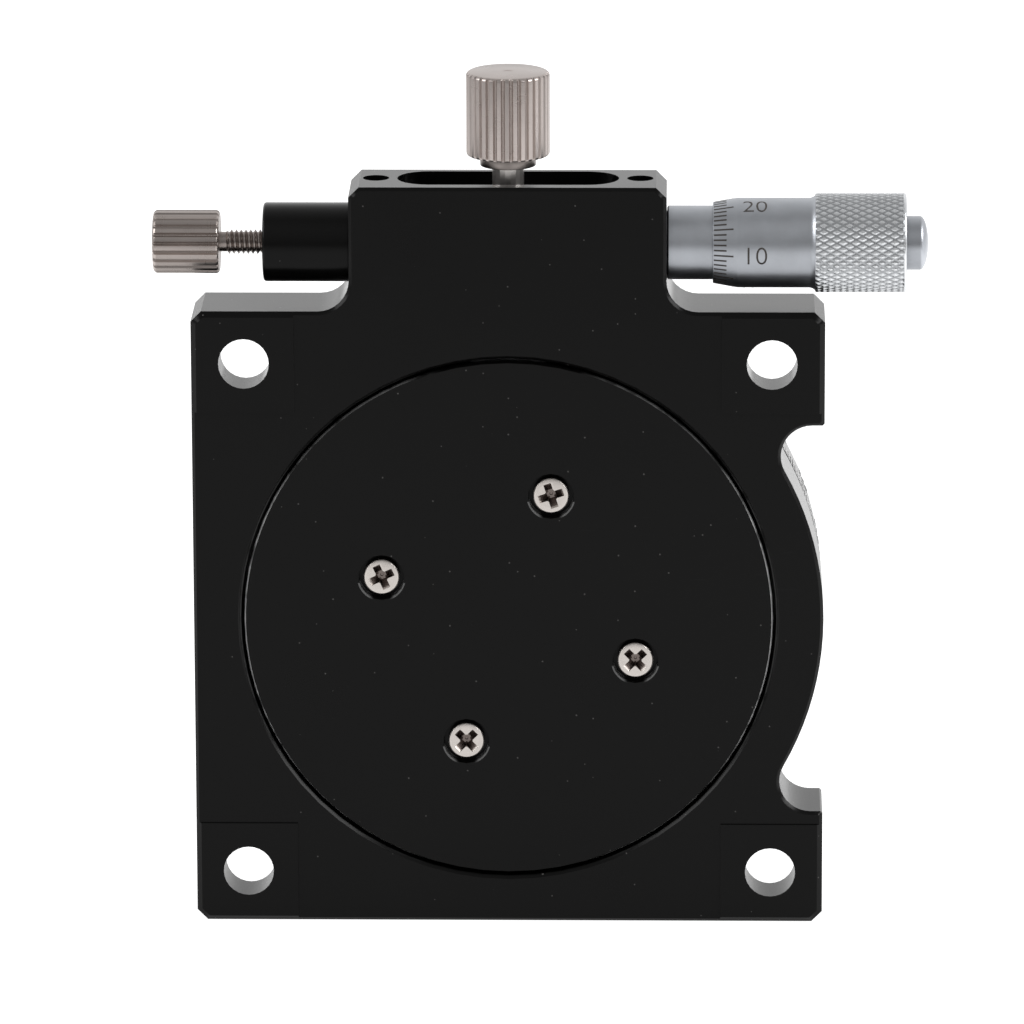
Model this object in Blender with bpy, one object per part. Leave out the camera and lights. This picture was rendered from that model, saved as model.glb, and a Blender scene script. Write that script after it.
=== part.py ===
"""Manual rotation stage, 60 mm square, standing on its lower edge with the mounting back to the front.

X runs to the micrometer, Z up through the neck, and Y along the rotation axis.
The origin is where the rotation axis meets the table's working face, so the base lies at -Y.
Depth is measured from the mounting back towards the table.
"""

import math

import bmesh
import bpy
from mathutils import Matrix, Vector

MM = 0.001
OVERSHOOT = 1.0 * MM
SEAT_GAP = 0.3 * MM

# Base plate and neck
STAGE_HEIGHT = 15.0 * MM
BASE_SIDE = 60.0 * MM
BASE_THICKNESS = 9.0 * MM
FACE_CHAMFER = 0.5 * MM
CORNER_CHAMFER = 1.0 * MM
PAD_RISE = 0.2 * MM
PAD_SIDE = 9.75 * MM
NECK_WIDTH = 30.0 * MM
NECK_RISE = 12.0 * MM
NECK_FILLET = 3.0 * MM
SCALLOP_RADIUS = 3.0 * MM
SCALLOP_HEIGHT = 16.0 * MM
EAR_EASE = 0.2 * MM

# Bolts that hold the stage down
BOLT_SPACING = 50.0 * MM
BOLT_HOLE_RADIUS = 2.4 * MM
BOLT_HEAD_RADIUS = 4.0 * MM
BOLT_HEAD_DEPTH = 4.5 * MM

# Rotor: table, hub and the retaining disc at the back
TABLE_INSET = 0.05 * MM
TABLE_LIFT = 0.4 * MM
TABLE_CHAMFER = 0.5 * MM
HUB_RADIUS = 20.0 * MM
HUB_CLEARANCE = 0.6 * MM
TAP_SPACING = 25.0 * MM
TAP_RADIUS = 1.65 * MM
TAP_DEPTH = 6.0 * MM
TAP_CHAMFER = 0.35 * MM
DISC_OVER_HUB = 5.2 * MM
DISC_THICKNESS = 1.9 * MM
DISC_SINK = 0.1 * MM
DISC_CHAMFER = 0.3 * MM
DISC_SCREW_CIRCLE = 12.75 * MM
DISC_SCREW_START = 71.4
DISC_SCREW_COUNT = 4
SCREW_HEAD_RADIUS = 1.75 * MM
SCREW_HEAD_HEIGHT = 0.8 * MM
SCREW_HEAD_SINK = 0.15 * MM
SCREW_STEM_RADIUS = 1.05 * MM
SCREW_LENGTH = 5.4 * MM
COUNTERBORE_RADIUS = 2.2 * MM

# Ball bearing between the base and the table, and the washer under the arm's ring
RACE_OVER_HUB = 3.5 * MM
BALL_RADIUS = 0.8 * MM
BALL_COUNT = 12
CAGE_WIDTH = 1.7 * MM
RACE_CLEARANCE = 0.35 * MM
WASHER_THICKNESS = 0.3 * MM
WASHER_GAP = 0.25 * MM

# Tangent arm and the clamp that grips the hub
MECHANISM_DEPTH = 4.75 * MM
SHOULDER_CLEARANCE = 1.1 * MM
ARM_RING_THICKNESS = 4.1 * MM
RING_CLEARANCE = 0.8 * MM
ARM_WIDTH = 7.0 * MM
ARM_THICKNESS = 5.2 * MM
ARM_OVER_SPINDLE = 3.7 * MM
ARM_STEP = 0.8 * MM
ARM_FLARE = 2.5 * MM
ARM_FLARE_SINK = 1.0 * MM
CHAMBER_LENGTH = 21.0 * MM
CHAMBER_WIDTH = 6.0 * MM
CHAMBER_SINK = 3.0 * MM
CLAMP_SCREW_RADIUS = 1.5 * MM
CLAMP_TIP_RADIUS = 1.1 * MM
CLAMP_TIP_STEP = 0.7 * MM
SHOE_RADIUS = 1.2 * MM
SHOE_LENGTH = 2.3 * MM
CLAMP_KNOB_RADIUS = 3.95 * MM
CLAMP_KNOB_LENGTH = 8.0 * MM
CLAMP_KNOB_FLUTES = 32
CLAMP_COLLAR_RADIUS = 2.65 * MM
CLAMP_COLLAR_LENGTH = 1.0 * MM
CLAMP_COLLAR_LIFT = 1.3 * MM
CLAMP_SCREW_IN_KNOB = 5.0 * MM
CLAMP_CENTRE_MARK = 0.6 * MM

# Micrometer head
STEM_RADIUS = 3.0 * MM
STEM_FIT = 0.25 * MM
SLEEVE_RADIUS = 3.5 * MM
SLEEVE_END = 29.0 * MM
SPINDLE_RADIUS = 1.75 * MM
SPINDLE_FIT = 0.3 * MM
ANVIL_RADIUS = 1.5 * MM
ANVIL_LENGTH = 1.4 * MM
ANVIL_PROUD = 0.3 * MM
THIMBLE_START = 19.36 * MM
THIMBLE_LIP_RADIUS = 3.825 * MM
THIMBLE_RADIUS = 4.25 * MM
THIMBLE_BEVEL = 2.35 * MM
THIMBLE_FIT = 0.15 * MM
GRIP_START = 29.05 * MM
GRIP_LENGTH = 8.6 * MM
GRIP_RADIUS = 4.7 * MM
GRIP_WALL = 0.55 * MM
GRIP_FIT = 0.2 * MM
GRIP_END_WALL = 1.0 * MM
THIMBLE_END_WALL = 4.0 * MM
CAP_RADIUS = 2.55 * MM
CAP_PROUD = 2.1 * MM
CAP_DOME = 0.8 * MM

# Spring barrel, plunger and the lock on the other side
BARREL_RADIUS = 3.75 * MM
BARREL_LENGTH = 8.2 * MM
BARREL_EDGE = 0.35 * MM
BARREL_BORE_RADIUS = 2.3 * MM
BARREL_END_WALL = 1.7 * MM
PLUNGER_RADIUS = 2.0 * MM
PLUNGER_LENGTH = 11.9 * MM
SPRING_RADIUS = 1.75 * MM
SPRING_WIRE = 0.35 * MM
SPRING_TURNS = 5
LOCK_SCREW_RADIUS = 1.25 * MM
LOCK_SCREW_LENGTH = 10.7 * MM
LOCK_UNDERCUT_RADIUS = 1.0 * MM
LOCK_UNDERCUT_LENGTH = 0.75 * MM
LOCK_TRAVEL_SHOWN = 4.15 * MM
LOCK_KNOB_RADIUS = 3.0 * MM
LOCK_KNOB_LENGTH = 6.3 * MM
LOCK_KNOB_FLUTES = 22
LOCK_SCREW_IN_KNOB = 2.85 * MM
KNOB_CHAMFER = 0.35 * MM
FLUTE_DEPTH = 0.22 * MM
SCREW_FIT = 0.2 * MM

# Set screws in the neck
SET_SCREW_OFFSET = 12.5 * MM
SET_SCREW_RADIUS = 1.05 * MM
SET_SCREW_HOLE_RADIUS = 1.25 * MM
SET_SCREW_LENGTH = 1.6 * MM
SET_SCREW_KEY = 0.9 * MM

# Edges broken by hand or by the lathe tool
EDGE_BREAK = 0.3 * MM
SMALL_BREAK = 0.2 * MM

# Facets round a circle
FINE = 64
RACE = 36
MEDIUM = 28
COARSE = 18
HIDDEN = 14

# Places worked out from the sizes above
BACK = -STAGE_HEIGHT
HALF = BASE_SIDE / 2
NECK_TOP = HALF + NECK_RISE
TABLE_RADIUS = HALF - TABLE_INSET
DISC_RADIUS = HUB_RADIUS + DISC_OVER_HUB
BALL_CIRCLE = HUB_RADIUS + RACE_OVER_HUB
MECHANISM_HEIGHT = HALF + GRIP_RADIUS + SHOULDER_CLEARANCE
DISC_TOP = PAD_RISE + DISC_SINK + DISC_THICKNESS
POCKET_RADIUS = DISC_RADIUS + SEAT_GAP
ARM_RING_RADIUS = POCKET_RADIUS - RING_CLEARANCE
ARM_TOP = MECHANISM_HEIGHT + ARM_OVER_SPINDLE
ARM_THICK_FROM = POCKET_RADIUS + ARM_STEP
CLAMP_TIP_TOP = ARM_THICK_FROM + CLAMP_TIP_STEP
CHAMBER_BOTTOM = POCKET_RADIUS - CHAMBER_SINK
RING_BOTTOM = DISC_TOP + SEAT_GAP
RING_TOP = RING_BOTTOM + ARM_RING_THICKNESS
POCKET_DEPTH = RING_TOP + WASHER_THICKNESS + 2 * WASHER_GAP
RING_BORE = HUB_RADIUS + SEAT_GAP
LIP_BORE = HUB_RADIUS + HUB_CLEARANCE
TABLE_UNDERSIDE = BASE_THICKNESS + TABLE_LIFT
BALL_DEPTH = BASE_THICKNESS + TABLE_LIFT / 2
RACE_HALF_WIDTH = CAGE_WIDTH / 2 + RACE_CLEARANCE
RACE_REACH = BALL_RADIUS + SEAT_GAP
NECK_FACE = NECK_WIDTH / 2
CHAMBER_WALL = CHAMBER_LENGTH / 2
SPINDLE_TIP = ARM_WIDTH / 2 + ANVIL_PROUD + SEAT_GAP
THIMBLE_CORE_RADIUS = GRIP_RADIUS - GRIP_WALL - GRIP_FIT
GRIP_END = GRIP_START + GRIP_LENGTH
THIMBLE_END = GRIP_END - GRIP_END_WALL - SEAT_GAP
THIMBLE_BORE = SLEEVE_RADIUS + THIMBLE_FIT
CAP_START = GRIP_END - GRIP_END_WALL
BARREL_START = -NECK_FACE - SEAT_GAP
BARREL_END = -NECK_FACE - BARREL_LENGTH
PLUNGER_TIP = -ARM_WIDTH / 2 - SEAT_GAP
PLUNGER_TAIL = PLUNGER_TIP - PLUNGER_LENGTH
LOCK_KNOB_FACE = BARREL_END - LOCK_TRAVEL_SHOWN
KNOB_COLLAR_BOTTOM = NECK_TOP + CLAMP_COLLAR_LIFT
KNOB_BODY_BOTTOM = KNOB_COLLAR_BOTTOM + CLAMP_COLLAR_LENGTH
SHOE_BOTTOM = HUB_RADIUS + SEAT_GAP

BLACK = (0.018, 0.018, 0.02)
STEEL = (0.62, 0.62, 0.64)
WARM_STEEL = (0.5, 0.48, 0.46)
BRASS = (0.68, 0.5, 0.22)
NICKEL = (0.7, 0.7, 0.68)
SPRING_STEEL = (0.42, 0.42, 0.44)
WHITE_PLASTIC = (0.8, 0.8, 0.78)


def clear_scene():
    for old in list(bpy.data.objects):
        bpy.data.objects.remove(old, do_unlink=True)


def finish_material(name, colour, roughness, metallic):
    made = bpy.data.materials.new(name)
    made.use_nodes = True
    shader = made.node_tree.nodes["Principled BSDF"]
    shader.inputs["Base Color"].default_value = (*colour, 1.0)
    shader.inputs["Roughness"].default_value = roughness
    shader.inputs["Metallic"].default_value = metallic
    return made


def anodised(name):
    return finish_material(name, BLACK, 0.45, 0.3)


def metal(name, colour, roughness=0.35):
    return finish_material(name, colour, roughness, 1.0)


def depth(value):
    """World Y of a depth measured from the mounting back."""
    return BACK + value


def place(bm, name, material=None, origin=Vector()):
    """Put a bmesh in the scene as an object whose origin lies on its own axis."""
    bmesh.ops.recalc_face_normals(bm, faces=bm.faces)
    bmesh.ops.translate(bm, verts=bm.verts, vec=-Vector(origin))
    mesh = bpy.data.meshes.new(name)
    bm.to_mesh(mesh)
    bm.free()
    piece = bpy.data.objects.new(name, mesh)
    piece.location = origin
    bpy.context.scene.collection.objects.link(piece)
    if material:
        mesh.materials.append(material)
    mesh.shade_smooth()
    mesh.set_sharp_from_angle(angle=math.radians(35))
    return piece


def combine(target, tool, operation):
    """Join or cut with a wire guide that stays out of the finished part."""
    tool.hide_render = True
    tool.display_type = "WIRE"
    change = target.modifiers.new(tool.name, "BOOLEAN")
    change.operation = operation
    change.object = tool
    return target


def cut(target, tool):
    return combine(target, tool, "DIFFERENCE")


def join(target, tool):
    return combine(target, tool, "UNION")


def turned_bmesh(profile, facets, axis, centre):
    """Spin a closed outline of (along, radius) points about an axis through centre."""
    bm = bmesh.new()
    along_axis = Vector(axis)
    outward = Vector((0.0, 0.0, 1.0)) if abs(along_axis.z) < 0.5 else Vector((1.0, 0.0, 0.0))
    points = [bm.verts.new(Vector(centre) + along_axis * a + outward * r) for a, r in profile]
    closes = profile[0][1] > 0.0 or profile[-1][1] > 0.0
    pairs = list(zip(points, points[1:]))
    if closes:
        pairs.append((points[-1], points[0]))
    edges = [bm.edges.new(pair) for pair in pairs]
    bmesh.ops.spin(bm, geom=points + edges, cent=centre, axis=axis, angle=math.tau,
                   steps=round(facets), use_merge=True, use_duplicate=False)
    bmesh.ops.remove_doubles(bm, verts=bm.verts, dist=0.0005 * MM)
    return bm


def turned_x(name, profile, facets, material=None):
    """A piece turned about the micrometer axis; along is world X."""
    centre = (0.0, depth(MECHANISM_DEPTH), MECHANISM_HEIGHT)
    bm = turned_bmesh(profile, facets, (1.0, 0.0, 0.0), centre)
    return place(bm, name, material, centre)


def turned_y(name, profile, facets, material=None, x=0.0, z=0.0):
    """A piece turned about an axis parallel to the rotation axis; along is depth."""
    centre = (x, BACK, z)
    bm = turned_bmesh(profile, facets, (0.0, 1.0, 0.0), centre)
    return place(bm, name, material, (x, 0.0, z))


def turned_z(name, profile, facets, material=None, x=0.0):
    """A piece turned about an upright axis in the mechanism's plane; along is height."""
    centre = (x, depth(MECHANISM_DEPTH), 0.0)
    bm = turned_bmesh(profile, facets, (0.0, 0.0, 1.0), centre)
    return place(bm, name, material, centre)


def arc(cx, cz, radius, start, end, steps):
    """Points on an arc, both ends included; angles in degrees."""
    turns = [math.radians(start + (end - start) * i / steps) for i in range(steps + 1)]
    return [(cx + radius * math.cos(t), cz + radius * math.sin(t)) for t in turns]


def loft(loops):
    """Close a solid through loops that have the same number of points."""
    bm = bmesh.new()
    rings = [[bm.verts.new(point) for point in loop] for loop in loops]
    for low, high in zip(rings, rings[1:]):
        for i in range(len(low)):
            j = (i + 1) % len(low)
            bm.faces.new((low[i], low[j], high[j], high[i]))
    bm.faces.new(rings[0])
    bm.faces.new(rings[-1])
    return bm


def slab(outline_at, near, far, chamfer):
    """Loft an XZ outline between two depths, with chamfered faces."""
    stations = ((near, chamfer), (near + chamfer, 0.0), (far - chamfer, 0.0), (far, chamfer))
    return loft([[(x, depth(d), z) for x, z in outline_at(inset)] for d, inset in stations])


def base_outline(inset):
    """Outline of plate, finger scallops, flush bulge and neck, moved inwards by inset."""
    side = HALF - inset
    corner = CORNER_CHAMFER - inset * (2 - math.sqrt(2))
    bulge_centre = math.sqrt((HALF + SCALLOP_RADIUS) ** 2 - SCALLOP_HEIGHT ** 2)
    scallop = SCALLOP_RADIUS + inset
    meet = math.degrees(math.asin(SCALLOP_HEIGHT / (HALF + SCALLOP_RADIUS)))
    ear = SCALLOP_HEIGHT + scallop
    neck = NECK_FACE - inset
    top = NECK_TOP - inset
    fillet = NECK_FILLET + inset
    fillet_x = NECK_FACE + NECK_FILLET
    fillet_z = HALF + NECK_FILLET
    points = [(side - corner, -side), (side, corner - side)]
    points += [(side, -ear - EAR_EASE), (side - EAR_EASE, -ear)]
    points += arc(bulge_centre, -SCALLOP_HEIGHT, scallop, -90, -180 - meet, 12)
    points += arc(0.0, 0.0, HALF - inset, -meet, meet, 20)[1:-1]
    points += arc(bulge_centre, SCALLOP_HEIGHT, scallop, 180 + meet, 90, 12)
    points += [(side - EAR_EASE, ear), (side, ear + EAR_EASE)]
    points += [(side, side - corner), (side - corner, side)]
    points += arc(fillet_x, fillet_z, fillet, 270, 180, 8)
    points += [(neck, top - corner), (neck - corner, top)]
    points += [(corner - neck, top), (-neck, top - corner)]
    points += arc(-fillet_x, fillet_z, fillet, 0, -90, 8)
    points += [(corner - side, side), (-side, side - corner)]
    points += [(-side, corner - side), (corner - side, -side)]
    return points


def block(name, low, high):
    """A plain box cutter between two corners."""
    bm = bmesh.new()
    bmesh.ops.create_cube(bm, size=1.0)
    middle = (Vector(low) + Vector(high)) / 2
    size = Vector(high) - Vector(low)
    bmesh.ops.scale(bm, verts=bm.verts, vec=size)
    bmesh.ops.translate(bm, verts=bm.verts, vec=middle)
    return place(bm, name)


def cut_pads(body):
    """Lower the back between the four corner pads."""
    edge = HALF - PAD_SIDE
    reach = NECK_TOP + OVERSHOOT
    near = depth(-OVERSHOOT)
    far = depth(PAD_RISE)
    cut(body, block("relief_upright", (-edge, near, -reach), (edge, far, reach)))
    for side in (-1, 1):
        low = min(side * edge, side * reach)
        tool = block(f"relief_side_{side}", (low - OVERSHOOT, near, -edge), (low + reach, far, edge))
        cut(body, tool)


def cut_rotor_pocket(body):
    mouth = POCKET_RADIUS + DISC_CHAMFER
    pocket = [
        (-OVERSHOOT, 0.0), (-OVERSHOOT, mouth), (PAD_RISE, mouth),
        (PAD_RISE + DISC_CHAMFER, POCKET_RADIUS), (POCKET_DEPTH, POCKET_RADIUS),
        (POCKET_DEPTH, LIP_BORE), (BASE_THICKNESS + OVERSHOOT, LIP_BORE),
        (BASE_THICKNESS + OVERSHOOT, 0.0),
    ]
    cut(body, turned_y("rotor_pocket", pocket, FINE))
    inner = BALL_CIRCLE - RACE_HALF_WIDTH
    outer = BALL_CIRCLE + RACE_HALF_WIDTH
    floor = BALL_DEPTH - RACE_REACH
    race = [
        (floor, inner), (floor, outer),
        (BASE_THICKNESS + OVERSHOOT, outer), (BASE_THICKNESS + OVERSHOOT, inner),
    ]
    cut(body, turned_y("ball_race", race, RACE))


def cut_bolt_holes(body):
    step = BASE_THICKNESS - BOLT_HEAD_DEPTH
    hole = [
        (-OVERSHOOT, 0.0), (-OVERSHOOT, BOLT_HOLE_RADIUS), (step, BOLT_HOLE_RADIUS), (step, BOLT_HEAD_RADIUS),
        (BASE_THICKNESS + OVERSHOOT, BOLT_HEAD_RADIUS), (BASE_THICKNESS + OVERSHOOT, 0.0),
    ]
    for x in (-1, 1):
        for z in (-1, 1):
            at = BOLT_SPACING / 2
            cut(body, turned_y(f"bolt_hole_{x}_{z}", hole, MEDIUM, x=x * at, z=z * at))


def chamber_tool():
    """The long slot in the neck, from its top down into the rotor pocket."""
    end = CHAMBER_WIDTH / 2
    middle = CHAMBER_LENGTH / 2 - end
    plan = arc(middle, MECHANISM_DEPTH, end, -90, 90, 12)
    plan += arc(-middle, MECHANISM_DEPTH, end, 90, 270, 12)
    heights = (CHAMBER_BOTTOM, NECK_TOP + OVERSHOOT)
    return place(loft([[(x, depth(d), z) for x, d in plan] for z in heights]), "chamber")


def cut_neck(body):
    cut(body, chamber_tool())
    bore = STEM_RADIUS + STEM_FIT
    for side, name in ((-1, "barrel_bore"), (1, "sleeve_bore")):
        inner = side * (CHAMBER_WALL - OVERSHOOT)
        outer = side * (NECK_FACE + OVERSHOOT)
        profile = [(inner, 0.0), (inner, bore), (outer, bore), (outer, 0.0)]
        cut(body, turned_x(name, profile, MEDIUM))
        top = NECK_TOP + OVERSHOOT
        low = MECHANISM_HEIGHT + STEM_RADIUS / 2
        hole = [(low, 0.0), (low, SET_SCREW_HOLE_RADIUS), (top, SET_SCREW_HOLE_RADIUS), (top, 0.0)]
        cut(body, turned_z(f"set_screw_hole_{side}", hole, COARSE, x=side * SET_SCREW_OFFSET))


def make_base():
    bm = slab(base_outline, 0.0, BASE_THICKNESS, FACE_CHAMFER)
    body = place(bm, "base_body", anodised("base_black"))
    cut_pads(body)
    cut_rotor_pocket(body)
    cut_bolt_holes(body)
    cut_neck(body)


def make_table():
    inner = BALL_CIRCLE - RACE_HALF_WIDTH
    outer = BALL_CIRCLE + RACE_HALF_WIDTH
    race_floor = BALL_DEPTH + RACE_REACH
    hub_end = DISC_TOP + SEAT_GAP
    ease = EDGE_BREAK
    profile = [
        (STAGE_HEIGHT, 0.0), (STAGE_HEIGHT, TABLE_RADIUS - TABLE_CHAMFER),
        (STAGE_HEIGHT - TABLE_CHAMFER, TABLE_RADIUS), (TABLE_UNDERSIDE + ease, TABLE_RADIUS),
        (TABLE_UNDERSIDE, TABLE_RADIUS - ease), (TABLE_UNDERSIDE, outer), (race_floor, outer),
        (race_floor, inner), (TABLE_UNDERSIDE, inner), (TABLE_UNDERSIDE, HUB_RADIUS),
        (hub_end, HUB_RADIUS), (hub_end, 0.0),
    ]
    table = turned_y("table", profile, FINE, anodised("table_black"))
    tap = [
        (STAGE_HEIGHT - TAP_DEPTH, 0.0), (STAGE_HEIGHT - TAP_DEPTH, TAP_RADIUS),
        (STAGE_HEIGHT - TAP_CHAMFER, TAP_RADIUS), (STAGE_HEIGHT, TAP_RADIUS + TAP_CHAMFER),
        (STAGE_HEIGHT + OVERSHOOT, TAP_RADIUS + TAP_CHAMFER), (STAGE_HEIGHT + OVERSHOOT, 0.0),
    ]
    for x in (-1, 1):
        for z in (-1, 1):
            at = TAP_SPACING / 2
            cut(table, turned_y(f"tapped_hole_{x}_{z}", tap, COARSE, x=x * at, z=z * at))
    screw_end = PAD_RISE + DISC_SINK + SCREW_HEAD_SINK + SCREW_LENGTH + SEAT_GAP
    hole = [(0.0, 0.0), (0.0, SCREW_STEM_RADIUS + SCREW_FIT),
            (screw_end, SCREW_STEM_RADIUS + SCREW_FIT), (screw_end, 0.0)]
    for number, (x, z) in enumerate(disc_screw_places(), 1):
        cut(table, turned_y(f"screw_tap_{number}", hole, HIDDEN, x=x, z=z))


def disc_screw_places():
    step = 360 / DISC_SCREW_COUNT
    turns = [math.radians(DISC_SCREW_START + step * i) for i in range(DISC_SCREW_COUNT)]
    return [(DISC_SCREW_CIRCLE * math.cos(t), DISC_SCREW_CIRCLE * math.sin(t)) for t in turns]


def make_disc():
    face = PAD_RISE + DISC_SINK
    profile = [
        (DISC_TOP, 0.0), (DISC_TOP, DISC_RADIUS), (face + DISC_CHAMFER, DISC_RADIUS),
        (face, DISC_RADIUS - DISC_CHAMFER), (face, 0.0),
    ]
    disc = turned_y("rotor_disc", profile, FINE, anodised("disc_black"))
    seat = face + SCREW_HEAD_SINK + SCREW_HEAD_HEIGHT + SEAT_GAP
    well = [
        (0.0, 0.0), (0.0, COUNTERBORE_RADIUS), (seat, COUNTERBORE_RADIUS),
        (seat, SCREW_STEM_RADIUS + SCREW_FIT), (DISC_TOP + SEAT_GAP / 2, SCREW_STEM_RADIUS + SCREW_FIT),
        (DISC_TOP + SEAT_GAP / 2, 0.0),
    ]
    steel = metal("disc_screw_nickel", NICKEL, 0.25)
    head = face + SCREW_HEAD_SINK
    edge = SMALL_BREAK
    screw = [
        (head, 0.0), (head, SCREW_HEAD_RADIUS - edge), (head + edge, SCREW_HEAD_RADIUS),
        (head + SCREW_HEAD_HEIGHT, SCREW_HEAD_RADIUS), (head + SCREW_HEAD_HEIGHT, SCREW_STEM_RADIUS),
        (head + SCREW_LENGTH, SCREW_STEM_RADIUS), (head + SCREW_LENGTH, 0.0),
    ]
    for number, (x, z) in enumerate(disc_screw_places(), 1):
        cut(disc, turned_y(f"screw_well_{number}", well, COARSE, x=x, z=z))
        turned_y(f"disc_screw_{number}", screw, COARSE, steel, x=x, z=z)


def make_bearing():
    half = CAGE_WIDTH / 2
    near = BALL_DEPTH - TABLE_LIFT / 2
    far = BALL_DEPTH + TABLE_LIFT / 2
    ring = [(near, BALL_CIRCLE - half), (near, BALL_CIRCLE + half),
            (far, BALL_CIRCLE + half), (far, BALL_CIRCLE - half)]
    cage = turned_y("ball_cage", ring, BALL_COUNT * 3, metal("ball_steel", STEEL, 0.2))
    for number in range(BALL_COUNT):
        turn = math.tau * (number + 0.5) / BALL_COUNT
        bm = bmesh.new()
        bmesh.ops.create_uvsphere(bm, u_segments=8, v_segments=4, radius=BALL_RADIUS)
        spot = (BALL_CIRCLE * math.cos(turn), depth(BALL_DEPTH), BALL_CIRCLE * math.sin(turn))
        bmesh.ops.translate(bm, verts=bm.verts, vec=spot)
        join(cage, place(bm, f"ball_{number}"))
    near = RING_TOP + WASHER_GAP
    far = near + WASHER_THICKNESS
    washer = [(near, LIP_BORE), (near, ARM_RING_RADIUS), (far, ARM_RING_RADIUS), (far, LIP_BORE)]
    turned_y("thrust_washer", washer, FINE // 2, finish_material("washer_white", WHITE_PLASTIC, 0.4, 0.0))


def arm_outline(inset):
    """The arm above its ring: flared where it leaves the ring, straight up to the contacts."""
    half = ARM_WIDTH / 2 - inset
    root = HUB_RADIUS + (ARM_RING_RADIUS - HUB_RADIUS) / 2
    flare = ARM_FLARE + inset
    corner = ARM_WIDTH / 2 + ARM_FLARE
    rise = ARM_RING_RADIUS - ARM_FLARE_SINK + ARM_FLARE
    top = ARM_TOP - inset
    points = [(-corner, root), (corner, root)]
    points += arc(corner, rise, flare, 270, 180, 5)
    points += [(half, top - FACE_CHAMFER), (half - FACE_CHAMFER, top)]
    points += [(FACE_CHAMFER - half, top), (-half, top - FACE_CHAMFER)]
    points += arc(-corner, rise, flare, 0, -90, 5)
    return points


def straight_outline(inset):
    half = ARM_WIDTH / 2 - inset
    top = ARM_TOP - inset
    return [(-half, ARM_THICK_FROM), (half, ARM_THICK_FROM), (half, top - FACE_CHAMFER),
            (half - FACE_CHAMFER, top), (FACE_CHAMFER - half, top), (-half, top - FACE_CHAMFER)]


def make_arm():
    ring = [(RING_BOTTOM, RING_BORE), (RING_BOTTOM, ARM_RING_RADIUS),
            (RING_TOP, ARM_RING_RADIUS), (RING_TOP, RING_BORE)]
    arm = turned_y("tangent_arm", ring, FINE // 2, metal("arm_steel", STEEL, 0.4))
    join(arm, place(slab(arm_outline, RING_BOTTOM, RING_TOP, SMALL_BREAK), "arm_root"))
    near = MECHANISM_DEPTH - ARM_THICKNESS / 2
    far = MECHANISM_DEPTH + ARM_THICKNESS / 2
    join(arm, place(slab(straight_outline, near, far, EDGE_BREAK), "arm_block"))
    screw = CLAMP_SCREW_RADIUS + SEAT_GAP
    shoe = SHOE_RADIUS + SEAT_GAP
    low = HUB_RADIUS - OVERSHOOT
    step = CLAMP_TIP_TOP - SEAT_GAP * 2
    bore = [(low, 0.0), (low, shoe), (step, shoe), (step, screw),
            (ARM_TOP + OVERSHOOT, screw), (ARM_TOP + OVERSHOOT, 0.0)]
    cut(arm, turned_z("clamp_bore", bore, HIDDEN))
    face = ARM_WIDTH / 2
    floor = face + ANVIL_PROUD - ANVIL_LENGTH - SEAT_GAP
    seat = ANVIL_RADIUS + SCREW_FIT
    recess = [(floor, 0.0), (floor, seat), (face + OVERSHOOT, seat), (face + OVERSHOOT, 0.0)]
    cut(arm, turned_x("anvil_recess", recess, HIDDEN))
    inner = floor + SEAT_GAP
    ease = SMALL_BREAK
    anvil = [(inner, 0.0), (inner, ANVIL_RADIUS), (inner + ANVIL_LENGTH - ease, ANVIL_RADIUS),
             (inner + ANVIL_LENGTH, ANVIL_RADIUS - ease), (inner + ANVIL_LENGTH, 0.0)]
    turned_x("arm_anvil", anvil, HIDDEN, metal("anvil_steel", STEEL, 0.15))
    pad = [(SHOE_BOTTOM, 0.0), (SHOE_BOTTOM, SHOE_RADIUS),
           (SHOE_BOTTOM + SHOE_LENGTH, SHOE_RADIUS), (SHOE_BOTTOM + SHOE_LENGTH, 0.0)]
    turned_z("clamp_shoe", pad, HIDDEN, metal("shoe_brass", BRASS, 0.4))


def fluted_knob(name, stations, flutes, placing, material):
    """Loft a knob through (along, radius, flute depth) stations; placing turns a point to world space."""
    loops = []
    for along, radius, flute in stations:
        loop = []
        for index in range(flutes):
            for share, sink in ((0.0, 0.0), (0.4, 0.0), (0.7, flute)):
                turn = math.tau * (index + share) / flutes
                reach = radius - sink
                loop.append(placing(along, reach * math.cos(turn), reach * math.sin(turn)))
        loops.append(loop)
    return place(loft(loops), name, material, placing(0.0, 0.0, 0.0))


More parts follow.
